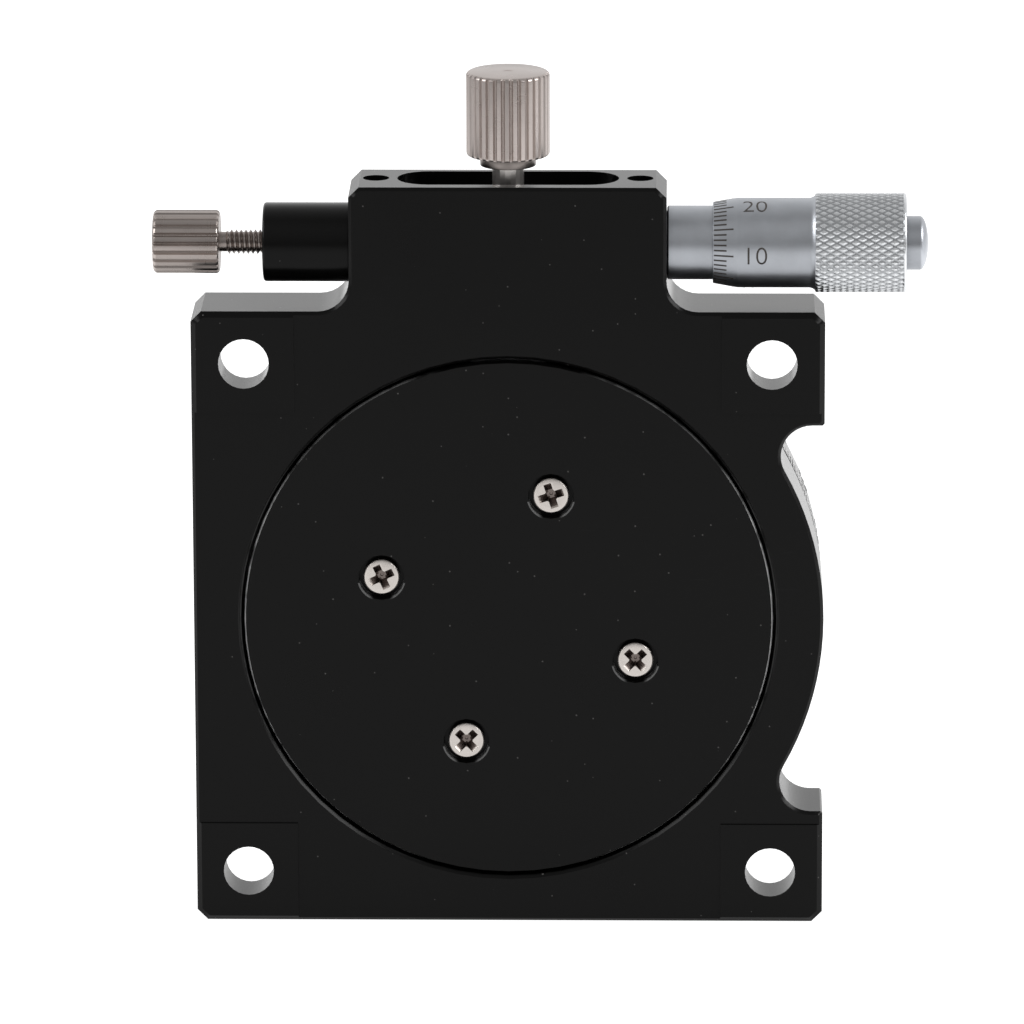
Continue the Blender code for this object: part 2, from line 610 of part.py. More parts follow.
def make_clamp():
    def upright(along, a, b):
        return Vector((a, depth(MECHANISM_DEPTH) + b, along))

    top = KNOB_BODY_BOTTOM + CLAMP_KNOB_LENGTH
    stations = [
        (KNOB_COLLAR_BOTTOM, CLAMP_COLLAR_RADIUS, 0.0),
        (KNOB_BODY_BOTTOM, CLAMP_COLLAR_RADIUS, 0.0),
        (KNOB_BODY_BOTTOM, CLAMP_KNOB_RADIUS - KNOB_CHAMFER, 0.0),
        (KNOB_BODY_BOTTOM + KNOB_CHAMFER, CLAMP_KNOB_RADIUS, FLUTE_DEPTH),
        (top - KNOB_CHAMFER, CLAMP_KNOB_RADIUS, FLUTE_DEPTH),
        (top, CLAMP_KNOB_RADIUS - KNOB_CHAMFER, 0.0),
    ]
    steel = metal("clamp_knob_steel", WARM_STEEL)
    knob = fluted_knob("clamp_knob", stations, CLAMP_KNOB_FLUTES, upright, steel)
    screw_top = KNOB_BODY_BOTTOM + CLAMP_SCREW_IN_KNOB
    hole = CLAMP_SCREW_RADIUS + SCREW_FIT
    socket = [(NECK_TOP, 0.0), (NECK_TOP, hole), (screw_top + SEAT_GAP, hole), (screw_top + SEAT_GAP, 0.0)]
    cut(knob, turned_z("knob_socket", socket, HIDDEN))
    mark = [(top - CLAMP_CENTRE_MARK, 0.0), (top, CLAMP_CENTRE_MARK),
            (top + OVERSHOOT, CLAMP_CENTRE_MARK), (top + OVERSHOOT, 0.0)]
    cut(knob, turned_z("knob_centre", mark, HIDDEN))
    tip = SHOE_BOTTOM + SHOE_LENGTH + SEAT_GAP
    shank = CLAMP_TIP_TOP + CLAMP_SCREW_RADIUS - CLAMP_TIP_RADIUS
    ease = SMALL_BREAK
    screw = [
        (tip, 0.0), (tip, CLAMP_TIP_RADIUS - ease), (tip + ease, CLAMP_TIP_RADIUS),
        (CLAMP_TIP_TOP, CLAMP_TIP_RADIUS), (shank, CLAMP_SCREW_RADIUS),
        (screw_top, CLAMP_SCREW_RADIUS), (screw_top, 0.0),
    ]
    turned_z("clamp_screw", screw, COARSE, metal("clamp_screw_steel", NICKEL))


def make_micrometer():
    satin = metal("micrometer_chrome", STEEL)
    stem_end = CHAMBER_WALL + SEAT_GAP
    shoulder = NECK_FACE + SEAT_GAP
    bore = SPINDLE_RADIUS + SPINDLE_FIT
    ease = EDGE_BREAK
    sleeve = [
        (stem_end, bore), (stem_end, STEM_RADIUS - ease), (stem_end + ease, STEM_RADIUS),
        (shoulder, STEM_RADIUS), (shoulder, SLEEVE_RADIUS), (SLEEVE_END - ease, SLEEVE_RADIUS),
        (SLEEVE_END, SLEEVE_RADIUS - ease), (SLEEVE_END, bore),
    ]
    turned_x("micrometer_sleeve", sleeve, MEDIUM, satin)
    centre = SPINDLE_TIP + SPINDLE_RADIUS
    end = THIMBLE_END - SEAT_GAP
    spindle = arc(centre, 0.0, SPINDLE_RADIUS, 180, 90, 5)
    spindle[0] = (SPINDLE_TIP, 0.0)
    spindle += [(end - ease, SPINDLE_RADIUS), (end, SPINDLE_RADIUS - ease), (end, 0.0)]
    turned_x("micrometer_spindle", spindle, COARSE, metal("spindle_steel", STEEL, 0.2))
    thimble_step = GRIP_START - SEAT_GAP
    wall = THIMBLE_END - THIMBLE_END_WALL
    core = THIMBLE_CORE_RADIUS
    hole = SPINDLE_RADIUS + SCREW_FIT
    thimble = [
        (THIMBLE_START, THIMBLE_BORE), (THIMBLE_START, THIMBLE_LIP_RADIUS),
        (THIMBLE_START + THIMBLE_BEVEL, THIMBLE_RADIUS), (thimble_step, THIMBLE_RADIUS),
        (thimble_step, core), (THIMBLE_END - ease, core), (THIMBLE_END, core - ease),
        (THIMBLE_END, hole), (wall, hole), (wall, THIMBLE_BORE),
    ]
    turned_x("thimble", thimble, MEDIUM, satin)
    inner = GRIP_RADIUS - GRIP_WALL
    cap_hole = CAP_RADIUS + SCREW_FIT
    grip = [
        (GRIP_START, inner), (GRIP_START, GRIP_RADIUS - ease), (GRIP_START + ease, GRIP_RADIUS),
        (GRIP_END - ease, GRIP_RADIUS), (GRIP_END, GRIP_RADIUS - ease), (GRIP_END, cap_hole),
        (CAP_START, cap_hole), (CAP_START, inner),
    ]
    turned_x("thimble_grip", grip, MEDIUM, satin)
    crown = GRIP_END + CAP_PROUD - CAP_DOME
    dome = [(crown + CAP_DOME * math.sin(t), CAP_RADIUS * math.cos(t))
            for t in (math.radians(18 * i) for i in range(6))]
    dome[-1] = (crown + CAP_DOME, 0.0)
    turned_x("thimble_cap", [(CAP_START, 0.0), (CAP_START, CAP_RADIUS), *dome], MEDIUM, satin)


def make_barrel():
    stem_end = -CHAMBER_WALL - SEAT_GAP
    ease = EDGE_BREAK
    wall = BARREL_END + BARREL_END_WALL
    hole = LOCK_SCREW_RADIUS + SCREW_FIT
    edge = [(BARREL_END + BARREL_EDGE + a, BARREL_RADIUS - BARREL_EDGE + b)
            for a, b in arc(0.0, 0.0, BARREL_EDGE, 90, 180, 3)]
    barrel = [
        (stem_end, BARREL_BORE_RADIUS), (stem_end, STEM_RADIUS - ease), (stem_end - ease, STEM_RADIUS),
        (BARREL_START, STEM_RADIUS), (BARREL_START, BARREL_RADIUS), *edge, (BARREL_END, hole),
        (wall, hole), (wall, BARREL_BORE_RADIUS),
    ]
    turned_x("spring_barrel", barrel, MEDIUM, anodised("barrel_black"))
    tip = PLUNGER_TIP - PLUNGER_RADIUS
    plunger = [(tip + PLUNGER_RADIUS * math.sin(t), PLUNGER_RADIUS * math.cos(t))
               for t in (math.radians(90 - 18 * i) for i in range(6))]
    plunger[0] = (PLUNGER_TIP, 0.0)
    plunger += [(PLUNGER_TAIL + ease, PLUNGER_RADIUS), (PLUNGER_TAIL, PLUNGER_RADIUS - ease),
                (PLUNGER_TAIL, 0.0)]
    turned_x("plunger", plunger, COARSE, metal("plunger_steel", STEEL, 0.25))
    make_spring(PLUNGER_TAIL - SEAT_GAP, wall + SEAT_GAP)
    make_lock()


def make_spring(start, end):
    """Coil spring between the plunger's tail and the barrel's end wall."""
    per_turn = 8
    count = SPRING_TURNS * per_turn
    first = start - SPRING_WIRE / 2
    pitch = (end + SPRING_WIRE / 2 - first) / count
    line = bpy.data.curves.new("preload_spring", "CURVE")
    line.dimensions = "3D"
    line.bevel_depth = SPRING_WIRE / 2
    line.bevel_resolution = 1
    line.use_fill_caps = True
    coil = line.splines.new("POLY")
    coil.points.add(count)
    for index, point in enumerate(coil.points):
        turn = math.tau * index / per_turn
        across, up = SPRING_RADIUS * math.cos(turn), SPRING_RADIUS * math.sin(turn)
        point.co = (first + pitch * index, across, up, 1.0)
    spring = bpy.data.objects.new("preload_spring", line)
    spring.location = (0.0, depth(MECHANISM_DEPTH), MECHANISM_HEIGHT)
    line.materials.append(metal("spring_wire", SPRING_STEEL, 0.3))
    bpy.context.scene.collection.objects.link(spring)


def make_lock():
    def sideways(along, a, b):
        return Vector((along, depth(MECHANISM_DEPTH) + a, MECHANISM_HEIGHT + b))

    outer = LOCK_KNOB_FACE - LOCK_KNOB_LENGTH
    tail = LOCK_KNOB_FACE - LOCK_SCREW_IN_KNOB
    ease = SMALL_BREAK
    stations = [
        (LOCK_KNOB_FACE, LOCK_KNOB_RADIUS - KNOB_CHAMFER, 0.0),
        (LOCK_KNOB_FACE - KNOB_CHAMFER, LOCK_KNOB_RADIUS, FLUTE_DEPTH),
        (outer + KNOB_CHAMFER, LOCK_KNOB_RADIUS, FLUTE_DEPTH),
        (outer, LOCK_KNOB_RADIUS - KNOB_CHAMFER, 0.0),
    ]
    steel = metal("lock_knob_steel", WARM_STEEL)
    knob = fluted_knob("lock_knob", stations, LOCK_KNOB_FLUTES, sideways, steel)
    hole = LOCK_SCREW_RADIUS + SCREW_FIT
    socket = [(LOCK_KNOB_FACE + OVERSHOOT, 0.0), (LOCK_KNOB_FACE + OVERSHOOT, hole),
              (tail - SEAT_GAP, hole), (tail - SEAT_GAP, 0.0)]
    cut(knob, turned_x("lock_socket", socket, HIDDEN))
    neck_end = LOCK_KNOB_FACE + LOCK_UNDERCUT_LENGTH
    tip = tail + LOCK_SCREW_LENGTH
    screw = [
        (tip, 0.0), (tip, LOCK_SCREW_RADIUS - ease), (tip - ease, LOCK_SCREW_RADIUS),
        (neck_end + ease, LOCK_SCREW_RADIUS), (neck_end, LOCK_UNDERCUT_RADIUS),
        (LOCK_KNOB_FACE, LOCK_UNDERCUT_RADIUS), (LOCK_KNOB_FACE - ease, LOCK_SCREW_RADIUS),
        (tail, LOCK_SCREW_RADIUS), (tail, 0.0),
    ]
    turned_x("lock_screw", screw, COARSE, metal("lock_screw_steel", NICKEL))


def make_set_screws():
    low = MECHANISM_HEIGHT + STEM_RADIUS + SEAT_GAP
    high = low + SET_SCREW_LENGTH
    key_radius = SET_SCREW_KEY / math.sqrt(3)
    body = [(low, 0.0), (low, SET_SCREW_RADIUS), (high, SET_SCREW_RADIUS), (high, 0.0)]
    key = [(high - SET_SCREW_LENGTH / 2, 0.0), (high - SET_SCREW_LENGTH / 2, key_radius),
           (high + OVERSHOOT, key_radius), (high + OVERSHOOT, 0.0)]
    steel = finish_material("set_screw_black", BLACK, 0.4, 0.8)
    for x, name in ((SET_SCREW_OFFSET, "sleeve_set_screw"), (-SET_SCREW_OFFSET, "barrel_set_screw")):
        screw = turned_z(name, body, HIDDEN, steel, x=x)
        cut(screw, turned_z(f"{name}_key", key, 6, x=x))


def main():
    clear_scene()
    make_base()
    make_table()
    make_disc()
    make_bearing()
    make_arm()
    make_clamp()
    make_micrometer()
    make_barrel()
    make_set_screws()


main()
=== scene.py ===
# %% [markdown]
# # A manual rotation stage
# A square black stage stands on its lower edge with its mounting back to the front. A micrometer pushes an arm
# inside the neck, and the arm turns the round table. The imported model gives every place and size, so it is
# loaded first.

# %% Load the frame
import math

import bpy
import numpy as np
from mathutils import Matrix, Vector


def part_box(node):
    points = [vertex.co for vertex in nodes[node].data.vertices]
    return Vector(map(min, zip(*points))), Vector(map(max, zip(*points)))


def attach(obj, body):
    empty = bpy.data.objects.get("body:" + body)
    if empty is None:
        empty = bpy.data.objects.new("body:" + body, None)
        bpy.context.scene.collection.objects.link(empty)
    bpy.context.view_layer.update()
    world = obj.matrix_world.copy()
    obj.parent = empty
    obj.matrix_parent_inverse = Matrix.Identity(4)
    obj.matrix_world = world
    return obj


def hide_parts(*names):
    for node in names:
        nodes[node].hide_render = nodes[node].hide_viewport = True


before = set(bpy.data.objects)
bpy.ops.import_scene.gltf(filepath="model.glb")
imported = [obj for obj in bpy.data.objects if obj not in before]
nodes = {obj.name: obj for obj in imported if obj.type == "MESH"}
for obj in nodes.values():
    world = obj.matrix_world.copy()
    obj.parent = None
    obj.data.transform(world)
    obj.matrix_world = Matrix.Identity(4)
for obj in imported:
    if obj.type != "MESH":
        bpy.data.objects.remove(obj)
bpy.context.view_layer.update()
MM = 0.001

# %% [markdown]
# ## Places that several pieces share
# The rotor turns on the Y axis. Micrometer, plunger and lock share one line along X, and the clamp screw
# stands on it. Both places are read from the model's own nodes, so nothing is fitted by eye.

# %% Shared places
def span(node, axis):
    """Lowest and highest place of a node on X, Y or Z."""
    low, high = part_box(node)
    return low["XYZ".index(axis)], high["XYZ".index(axis)]


def middle(node):
    low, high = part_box(node)
    return (low + high) / 2


def reach(node, axis="Z"):
    """Half a node's extent on an axis: the radius of a turned piece."""
    low, high = span(node, axis)
    return (high - low) / 2


ROTOR = Vector((0, 0, 0))
THRUST = Vector((0, middle("micrometer_spindle").y, middle("micrometer_spindle").z))
CLAMP = Vector((0, THRUST.y, 0))
GRIP_R = reach("thimble_grip")
KNURL_DEPTH = 0.14 * MM
print("thrust line at y %.5f, z %.5f" % (THRUST.y, THRUST.z))

# %% [markdown]
# ## Camera
# The photograph was fitted with a long lens about 0.83 m away, 14 degrees above the stage and a little to
# its right. The camera is set from those numbers, with no shift.

# %% Camera
YAW, PITCH, ROLL = (math.radians(angle) for angle in (1.2955, 14.378, -0.1787))
DISTANCE = 832.27 * MM
LENS = 308.24
TARGET = Vector((0.3729, -15.0, 10.618)) * MM

ahead = Vector((-math.sin(YAW) * math.cos(PITCH), math.cos(YAW) * math.cos(PITCH), -math.sin(PITCH)))
level = Vector((math.cos(YAW), math.sin(YAW), 0))
lift = level.cross(ahead)
right = math.cos(ROLL) * level + math.sin(ROLL) * lift
up = math.cos(ROLL) * lift - math.sin(ROLL) * level
camera = bpy.data.objects.new("camera", bpy.data.cameras.new("camera"))
camera.data.lens = LENS
camera.data.sensor_width = 36.0
camera.data.clip_start = 0.01
camera.data.clip_end = 20.0
facing = Matrix((right, up, -ahead)).transposed().to_4x4()
camera.matrix_world = Matrix.Translation(TARGET - DISTANCE * ahead) @ facing
bpy.context.scene.collection.objects.link(camera)
bpy.context.scene.camera = camera
bpy.context.scene.view_settings.view_transform = "Standard"
print("camera at", tuple(round(c / MM, 1) for c in camera.location))

# %% [markdown]
# ## Shader maths as Python
# A material is a graph of nodes. A small class wraps a socket, so that a sum or product of two sockets is
# written as one in Python and adds the Math node. All other nodes come from one method, which takes the
# node's type, its settings and its inputs.

# %% Sockets with operators
class Wire:
    """A node's output, which Python's own signs work on."""

    def __init__(self, graph, socket):
        self.graph, self.socket = graph, socket

    def math(self, operation, *terms):
        return self.graph.add("ShaderNodeMath", {"operation": operation}, dict(enumerate(terms)))

    def also(self, output):
        """Another output of the same node."""
        return Wire(self.graph, self.socket.node.outputs[output])

    def __add__(self, other):
        return self.math("ADD", self, other)

    def __sub__(self, other):
        return self.math("SUBTRACT", self, other)

    def __rsub__(self, other):
        return self.math("SUBTRACT", other, self)

    def __mul__(self, other):
        return self.math("MULTIPLY", self, other)

    def __gt__(self, other):
        return self.math("GREATER_THAN", self, other)

    def __lt__(self, other):
        return self.math("LESS_THAN", self, other)

    __radd__ = __add__
    __rmul__ = __mul__


class Graph:
    """The nodes of a material or a world."""

    def __init__(self, tree):
        self.tree = tree

    def add(self, kind, settings=None, inputs=None, output=0):
        node = self.tree.nodes.new(kind)
        for word, value in (settings or {}).items():
            if word == "stops":
                self.set_stops(node.color_ramp, value)
            else:
                setattr(node, word, value)
        for key, value in (inputs or {}).items():
            if isinstance(value, Wire):
                self.tree.links.new(value.socket, node.inputs[key])
            else:
                node.inputs[key].default_value = value
        return Wire(self, node.outputs[output])

    def set_stops(self, ramp, stops):
        ramp.elements.remove(ramp.elements[1])
        for number, (position, colour) in enumerate(stops):
            element = ramp.elements[0] if number == 0 else ramp.elements.new(position)
            element.position, element.color = position, colour

    def mix(self, factor, first, second):
        """Between two colours."""
        return self.add("ShaderNodeMix", {"data_type": "RGBA"}, {0: factor, 6: first, 7: second}, 2)


class Finish(Graph):
    """A material under way: one Principled shader and the patterns that feed it."""

    def __init__(self, name, **constants):
        self.material = bpy.data.materials.new(name)
        self.material.use_nodes = True
        super().__init__(self.material.node_tree)
        self.shader = self.tree.nodes["Principled BSDF"]
        for word, value in constants.items():
            self.shader.inputs[word.replace("_", " ")].default_value = value
        self.place = self.add("ShaderNodeTexCoord", output="Object")

    def feed(self, socket, wire):
        self.tree.links.new(wire.socket, self.shader.inputs[socket])

    def stretched(self, stretch):
        return self.add("ShaderNodeMapping", inputs={"Vector": self.place, "Scale": stretch})

    def noise(self, scale, detail=3.0, stretch=(1, 1, 1)):
        place = self.place if stretch == (1, 1, 1) else self.stretched(stretch)
        return self.add("ShaderNodeTexNoise", inputs={"Vector": place, "Scale": scale, "Detail": detail})

    def ramp(self, wire, low, high):
        """0 below low, 1 above high, smooth between."""
        return self.add("ShaderNodeMapRange", {"interpolation_type": "SMOOTHSTEP"},
                        {"Value": wire, "From Min": low, "From Max": high})

    def specks(self, cell, radius, share):
        """Round dots, one in each cell of a share of the cells."""
        settings = {"feature": "F1"}
        inputs = {"Vector": self.place, "Scale": 1 / cell}
        near = self.add("ShaderNodeTexVoronoi", settings, inputs, "Distance")
        pick = self.add("ShaderNodeSeparateColor", inputs={"Color": near.also("Color")})
        return (near < (0.4 + 0.6 * pick.also("Green")) * (radius / cell)) * (pick < share)

    def bump(self, wire, height):
        self.feed("Normal", self.add("ShaderNodeBump", inputs={"Height": wire, "Distance": height}))


print("Math nodes come from the signs of", Wire.__name__)

# %% [markdown]
# ## Black anodised aluminium
# The body is bead-blasted and anodised: an almost black face whose sheen comes only at a flat angle. Dust,
# fine scratches and a slightly uneven dye keep it from looking like a flat colour.

# %% Black anodise
DISC_FRONT = -14.3 * MM
WELL_R, WELL_EDGE = 2.13 * MM, 0.18 * MM


def grey(level, warmth=0.0):
    """Positive warmth leans to red, negative to blue."""
    return (level * (1 + warmth), level, level * (1 - warmth), 1)


def rubbed(finish, low, high):
    """Painted highlight on a ring round the rotor's axis, in place of an edge that catches the light: most at the
    two sides, none below.
    """
    x = finish.add("ShaderNodeSeparateXYZ", inputs={0: finish.place})
    square = x * x + x.also("Z") * x.also("Z")
    ring = (square > low ** 2) * (square < high ** 2) * (x.also("Y") < DISC_FRONT)
    much = finish.ramp(x * x, (19 * MM) ** 2, (24 * MM) ** 2)
    little = finish.ramp(x * x, (6 * MM) ** 2, (11 * MM) ** 2)
    patchy = finish.ramp(finish.noise(420.0, 2.0), 0.38, 0.50)
    return ring * (0.2 * little + 0.8 * much) * (0.3 + 0.7 * patchy)


def well_arcs(finish, nodes_in_wells):
    """Painted highlight: the turned edges of the screws' wells are painted lighter low down at either side, where
    they catch the light.
    """
    x = finish.add("ShaderNodeSeparateXYZ", inputs={0: finish.place})
    arcs = 0.0
    for node in nodes_in_wells:
        right, above = x - middle(node).x, x.also("Z") - middle(node).z
        square = right * right + above * above
        ring = (square > WELL_R ** 2) * (square < (WELL_R + WELL_EDGE) ** 2)
        low_side = (above < -0.55 * MM) * finish.ramp(right * right, (0.7 * MM) ** 2, (1.3 * MM) ** 2)
        arcs = ring * low_side + arcs
    return arcs


def black_anodise(name, ring, highlight_share, wells=()):
    """A low index keeps the face black, and a clear coat doubles the sheen at a flat angle. ring gives the two
    radii of a line lightened as a painted highlight, the next argument says how strong that painted highlight is,
    and wells names the screws whose wells get a painted highlight."""
    finish = Finish(name, IOR=1.17, Coat_Weight=1.0, Coat_IOR=1.18, Coat_Roughness=0.22)
    cloud = finish.noise(90.0, 2.0)
    grain = finish.noise(7000.0, 2.0)
    scratch = finish.noise(160.0, 4.0, (1.0, 1.0, 26.0))
    line = finish.ramp(scratch, 0.68, 0.73) * finish.ramp(finish.noise(60.0), 0.55, 0.7)
    specks = finish.specks(0.8 * MM, 0.10 * MM, 0.13)
    base_tone = finish.mix(cloud, grey(0.0020, 0.03), grey(0.0038, 0.03))
    # Painted highlight: a light grey ring where an edge catches the light.
    base_tone = finish.mix(highlight_share * rubbed(finish, *ring), base_tone, grey(0.85))
    if wells:
        # Painted highlight on the edges of the screws' wells.
        base_tone = finish.mix(0.24 * well_arcs(finish, wells), base_tone, grey(0.8))
    scratched = finish.mix(line * 0.25, base_tone, grey(0.03))
    finish.feed("Base Color", finish.mix(specks * 0.55, scratched, grey(0.20, 0.03)))
    finish.feed("Roughness", 0.22 + 0.10 * cloud + 0.06 * grain - 0.05 * line)
    finish.bump(grain + 3.0 * specks, 0.0010 * MM)
    return finish.material


DISC_SCREWS = [f"disc_screw_{number}" for number in range(1, 5)]
# The base and table get a faint painted highlight ring, the disc's edge a full one.
ANODISED = black_anodise("anodised_black", (25.49 * MM, 25.60 * MM), 0.06)
DISC_BLACK = black_anodise("anodised_black_disc", (25.04 * MM, 25.26 * MM), 1.0, DISC_SCREWS)
print("finishes", ANODISED.name, DISC_BLACK.name)

# %% [markdown]
# ## Turned and plated metal
# The micrometer is satin chrome and the knobs are turned stainless steel. Both carry the rings of the tool, so the
# grain is noise that is fine along the axis of turning and long across it. The knurl's tops get a painted
# highlight and its grooves painted shade, which the distance from the thrust line tells apart.

# %% Turned metals
# Colour of the painted shade deep in a screw's recess.
RECESS_SHADE = (0.110, 0.080, 0.070, 1)


def turned_metal(name, colour, roughness, axis, rings=0.10, bump=0.0010, wear=0.10, recess_shade_depths=None, knurled=None):
    """A pair of places along the axis bounds painted shade, which darkens the metal further into a recess. A pair
    of radii gives the foot and the top of a knurl on the thrust line, whose tops get a painted highlight and whose
    grooves painted shade."""
    finish = Finish(name, Metallic=1.0)
    stretch = tuple(1.0 if letter == axis else 0.04 for letter in "XYZ")
    ring = finish.noise(9000.0, 3.0, stretch)
    handled = finish.noise(500.0, 4.0)
    pits = finish.specks(0.9 * MM, 0.06 * MM, 0.10)
    bright = tuple(c * (1 + wear) for c in colour) + (1,)
    dull = tuple(c * (1 - wear) for c in colour) + (1,)
    clean = finish.mix(pits * 0.35, finish.mix(handled, dull, bright), grey(0.12))
    # Painted shade: the metal is darkened further into a recess.
    if recess_shade_depths:
        along = finish.add("ShaderNodeSeparateXYZ", inputs={0: finish.place}, output=axis)
        clean = finish.mix(0.84 * finish.ramp(along, *recess_shade_depths), clean, RECESS_SHADE)
    # Painted highlight on the knurl's tops and painted shade in its grooves, told apart by the distance from the
    # thrust line.
    if knurled:
        x = finish.add("ShaderNodeSeparateXYZ", inputs={0: finish.place})
        front, above = x.also("Y") - THRUST.y, x.also("Z") - THRUST.z
        low, high = knurled
        top = finish.ramp(front * front + above * above, low ** 2, high ** 2)
        painted_groove_shade = finish.mix(0.55, clean, grey(0.30, -0.04))
        painted_top_highlight = finish.mix(0.75, clean, grey(0.96, -0.02))
        clean = finish.mix(top, painted_groove_shade, painted_top_highlight)
    finish.feed("Base Color", clean)
    finish.feed("Roughness", (roughness - rings / 2) + rings * ring + 0.08 * handled)
    finish.bump(ring, bump * MM)
    return finish.material


CHROME = turned_metal("satin_chrome", (0.49, 0.51, 0.545), 0.33, "X", wear=0.14)
# Painted light: the grip's chrome is a lighter copy of the sleeve's satin chrome, in place of the light its knurl
# catches.
GRIP_CHROME_LIT = turned_metal("satin_chrome_grip_lit", (0.66, 0.675, 0.70), 0.24, "X", wear=0.08,
                           knurled=(GRIP_R - KNURL_DEPTH + 0.01 * MM, GRIP_R - 0.01 * MM))
KNOB_UPRIGHT = turned_metal("knob_steel_upright", (0.50, 0.445, 0.42), 0.26, "Z", 0.16, 0.0022)
# Painted shade: the collar is the knob's own steel painted darker, where it lies under the knob.
KNOB_COLLAR_SHADED = turned_metal("knob_steel_collar_shaded", (0.27, 0.24, 0.225), 0.30, "Z", 0.16, 0.0022)
KNOB_LEVEL = turned_metal("knob_steel_level", (0.45, 0.40, 0.375), 0.26, "X", 0.16, 0.0022)
HEAD_FACE = span("disc_screw_1", "Y")[0]
# The heads' recesses get painted shade below the face.
NICKEL = turned_metal("screw_nickel", (0.74, 0.69, 0.65), 0.24, "Y", 0.08, 0.0012,
                      recess_shade_depths=(HEAD_FACE + 0.08 * MM, HEAD_FACE + 0.28 * MM))
SHANK = turned_metal("screw_nickel_shank", (0.80, 0.76, 0.73), 0.26, "Z", 0.08, 0.0012)
LOCK_THREAD = turned_metal("screw_nickel_thread", (0.34, 0.30, 0.28), 0.25, "X", 0.08, 0.0008)
GROUND = turned_metal("ground_steel", (0.62, 0.62, 0.63), 0.16, "X", 0.05, 0.0006)
MACHINED = turned_metal("machined_steel", (0.52, 0.52, 0.53), 0.34, "Z", 0.12, 0.0025)
SPRING = turned_metal("spring_wire", (0.42, 0.42, 0.43), 0.28, "X", 0.06, 0.0006)
BRASS = turned_metal("shoe_brass", (0.72, 0.52, 0.24), 0.28, "Z", 0.10, 0.0015)
print("metals", 12)

# %% [markdown]
# ## Small finishes
# The washer is a slippery white plastic, the set screws are blackened steel, and the scales are filled with
# paint: dark on the chrome, white on the black rim.

# %% Small finishes
def plain_grain(name, dark, light, roughness, scale, metallic=0.0, height=0.001):
    finish = Finish(name, Metallic=metallic)
    grain = finish.noise(scale, 3.0)
    finish.feed("Base Color", finish.mix(grain, dark, light))
    finish.feed("Roughness", (roughness - 0.06) + 0.12 * grain)
    finish.bump(grain, height * MM)
    return finish.material


PLASTIC = plain_grain("white_plastic", grey(0.70), grey(0.82), 0.45, 2500.0)
BLACK_OXIDE = plain_grain("set_screw_black", grey(0.03, 0.1), grey(0.07, 0.1), 0.35, 4000.0, 1.0)
DARK_PAINT = plain_grain("scale_dark", (0.040, 0.034, 0.030, 1), (0.075, 0.065, 0.058, 1), 0.5, 9000.0)
WHITE_PAINT = plain_grain("scale_white", grey(0.55), grey(0.72), 0.5, 9000.0)
print("small finishes", 4)

# %% [markdown]
# ## Helpers for modelling
# Every operator acts on what is selected, so each helper starts from an empty selection. A turned piece
# starts as a disc and is extruded and scaled from station to station, as on a lathe drawing.

# %% Modelling helpers
AXES = {"X": Vector((1, 0, 0)), "Y": Vector((0, 1, 0)), "Z": Vector((0, 0, 1))}
TILT = {"X": (0, math.pi / 2, 0), "Y": (-math.pi / 2, 0, 0), "Z": (0, 0, 0)}


def only(piece):
    bpy.ops.object.select_all(action="DESELECT")
    piece.select_set(True)
    bpy.context.view_layer.objects.active = piece


def settle():
    """Puts the active object's place and turn into its mesh."""
    bpy.ops.object.transform_apply(location=True, rotation=True, scale=True)
    return bpy.context.object


def apply(piece, kind, **settings):
    only(piece)
    modifier = piece.modifiers.new(kind.lower(), kind)
    for word, value in settings.items():
        setattr(modifier, word, value)
    bpy.ops.object.modifier_apply(modifier=modifier.name)


def outward(piece):
    """Merges doubles and points all faces out."""
    only(piece)
    bpy.ops.object.mode_set(mode="EDIT")
    bpy.ops.mesh.select_all(action="SELECT")
    bpy.ops.mesh.remove_doubles(threshold=1e-7)
    bpy.ops.mesh.normals_make_consistent(inside=False)
    bpy.ops.object.mode_set(mode="OBJECT")


def smooth(piece, degrees):
    """Shades as round whatever bends less than this."""
    only(piece)
    bpy.ops.object.shade_smooth_by_angle(angle=math.radians(degrees))


def soften(piece, width, segments=2, angle=35):
    """Rounds the sharp edges, so that they catch the light, and keeps flat faces flat."""
    apply(piece, "BEVEL", width=width, segments=segments, limit_method="ANGLE", angle_limit=math.radians(angle),
          use_clamp_overlap=True)
    smooth(piece, 40)
    apply(piece, "WEIGHTED_NORMAL", keep_sharp=True, weight=80)


def dressed(piece, body, material, slot, *replaced):
    """The finish, the body that carries the piece, and the nodes that it stands for."""
    piece.data.materials.clear()
    piece.data.materials.append(material)
    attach(piece, body)
    if replaced:
        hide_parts(*replaced)
    return piece


def turned(name, axis, line, stations, facets=96):
    """A closed solid of revolution. Stations are (place along the axis, radius)."""
    along = AXES[axis]
    place, radius = stations[0]
    bpy.ops.object.select_all(action="DESELECT")
    bpy.ops.mesh.primitive_circle_add(vertices=facets, radius=radius, fill_type="NGON", rotation=TILT[axis],
                                      location=line + along * place)
    piece = settle()
    piece.name = name
    bpy.ops.object.mode_set(mode="EDIT")
    bpy.ops.mesh.select_all(action="SELECT")
    for there, wide in stations[1:]:
        bpy.ops.mesh.extrude_region_move(TRANSFORM_OT_translate={"value": along * (there - place)})
        if abs(wide - radius) > 1e-9:
            factor = wide / radius
            bpy.ops.transform.resize(value=(factor,) * 3, center_override=line + along * there)
        place, radius = there, wide
    bpy.ops.object.mode_set(mode="OBJECT")
    outward(piece)
    return piece


def cut(piece, tool):
    """Cuts another solid out of the piece and removes it."""
    apply(piece, "BOOLEAN", object=tool, operation="DIFFERENCE", solver="EXACT")
    bpy.data.objects.remove(tool)


print("turning axes", list(AXES))

# %% [markdown]
# ## Base, table and disc
# The milled pieces have the right shape in the model already. A copy of each is merged from loose triangles
# into clean faces, and its sharp edges get the small break that a real edge has.

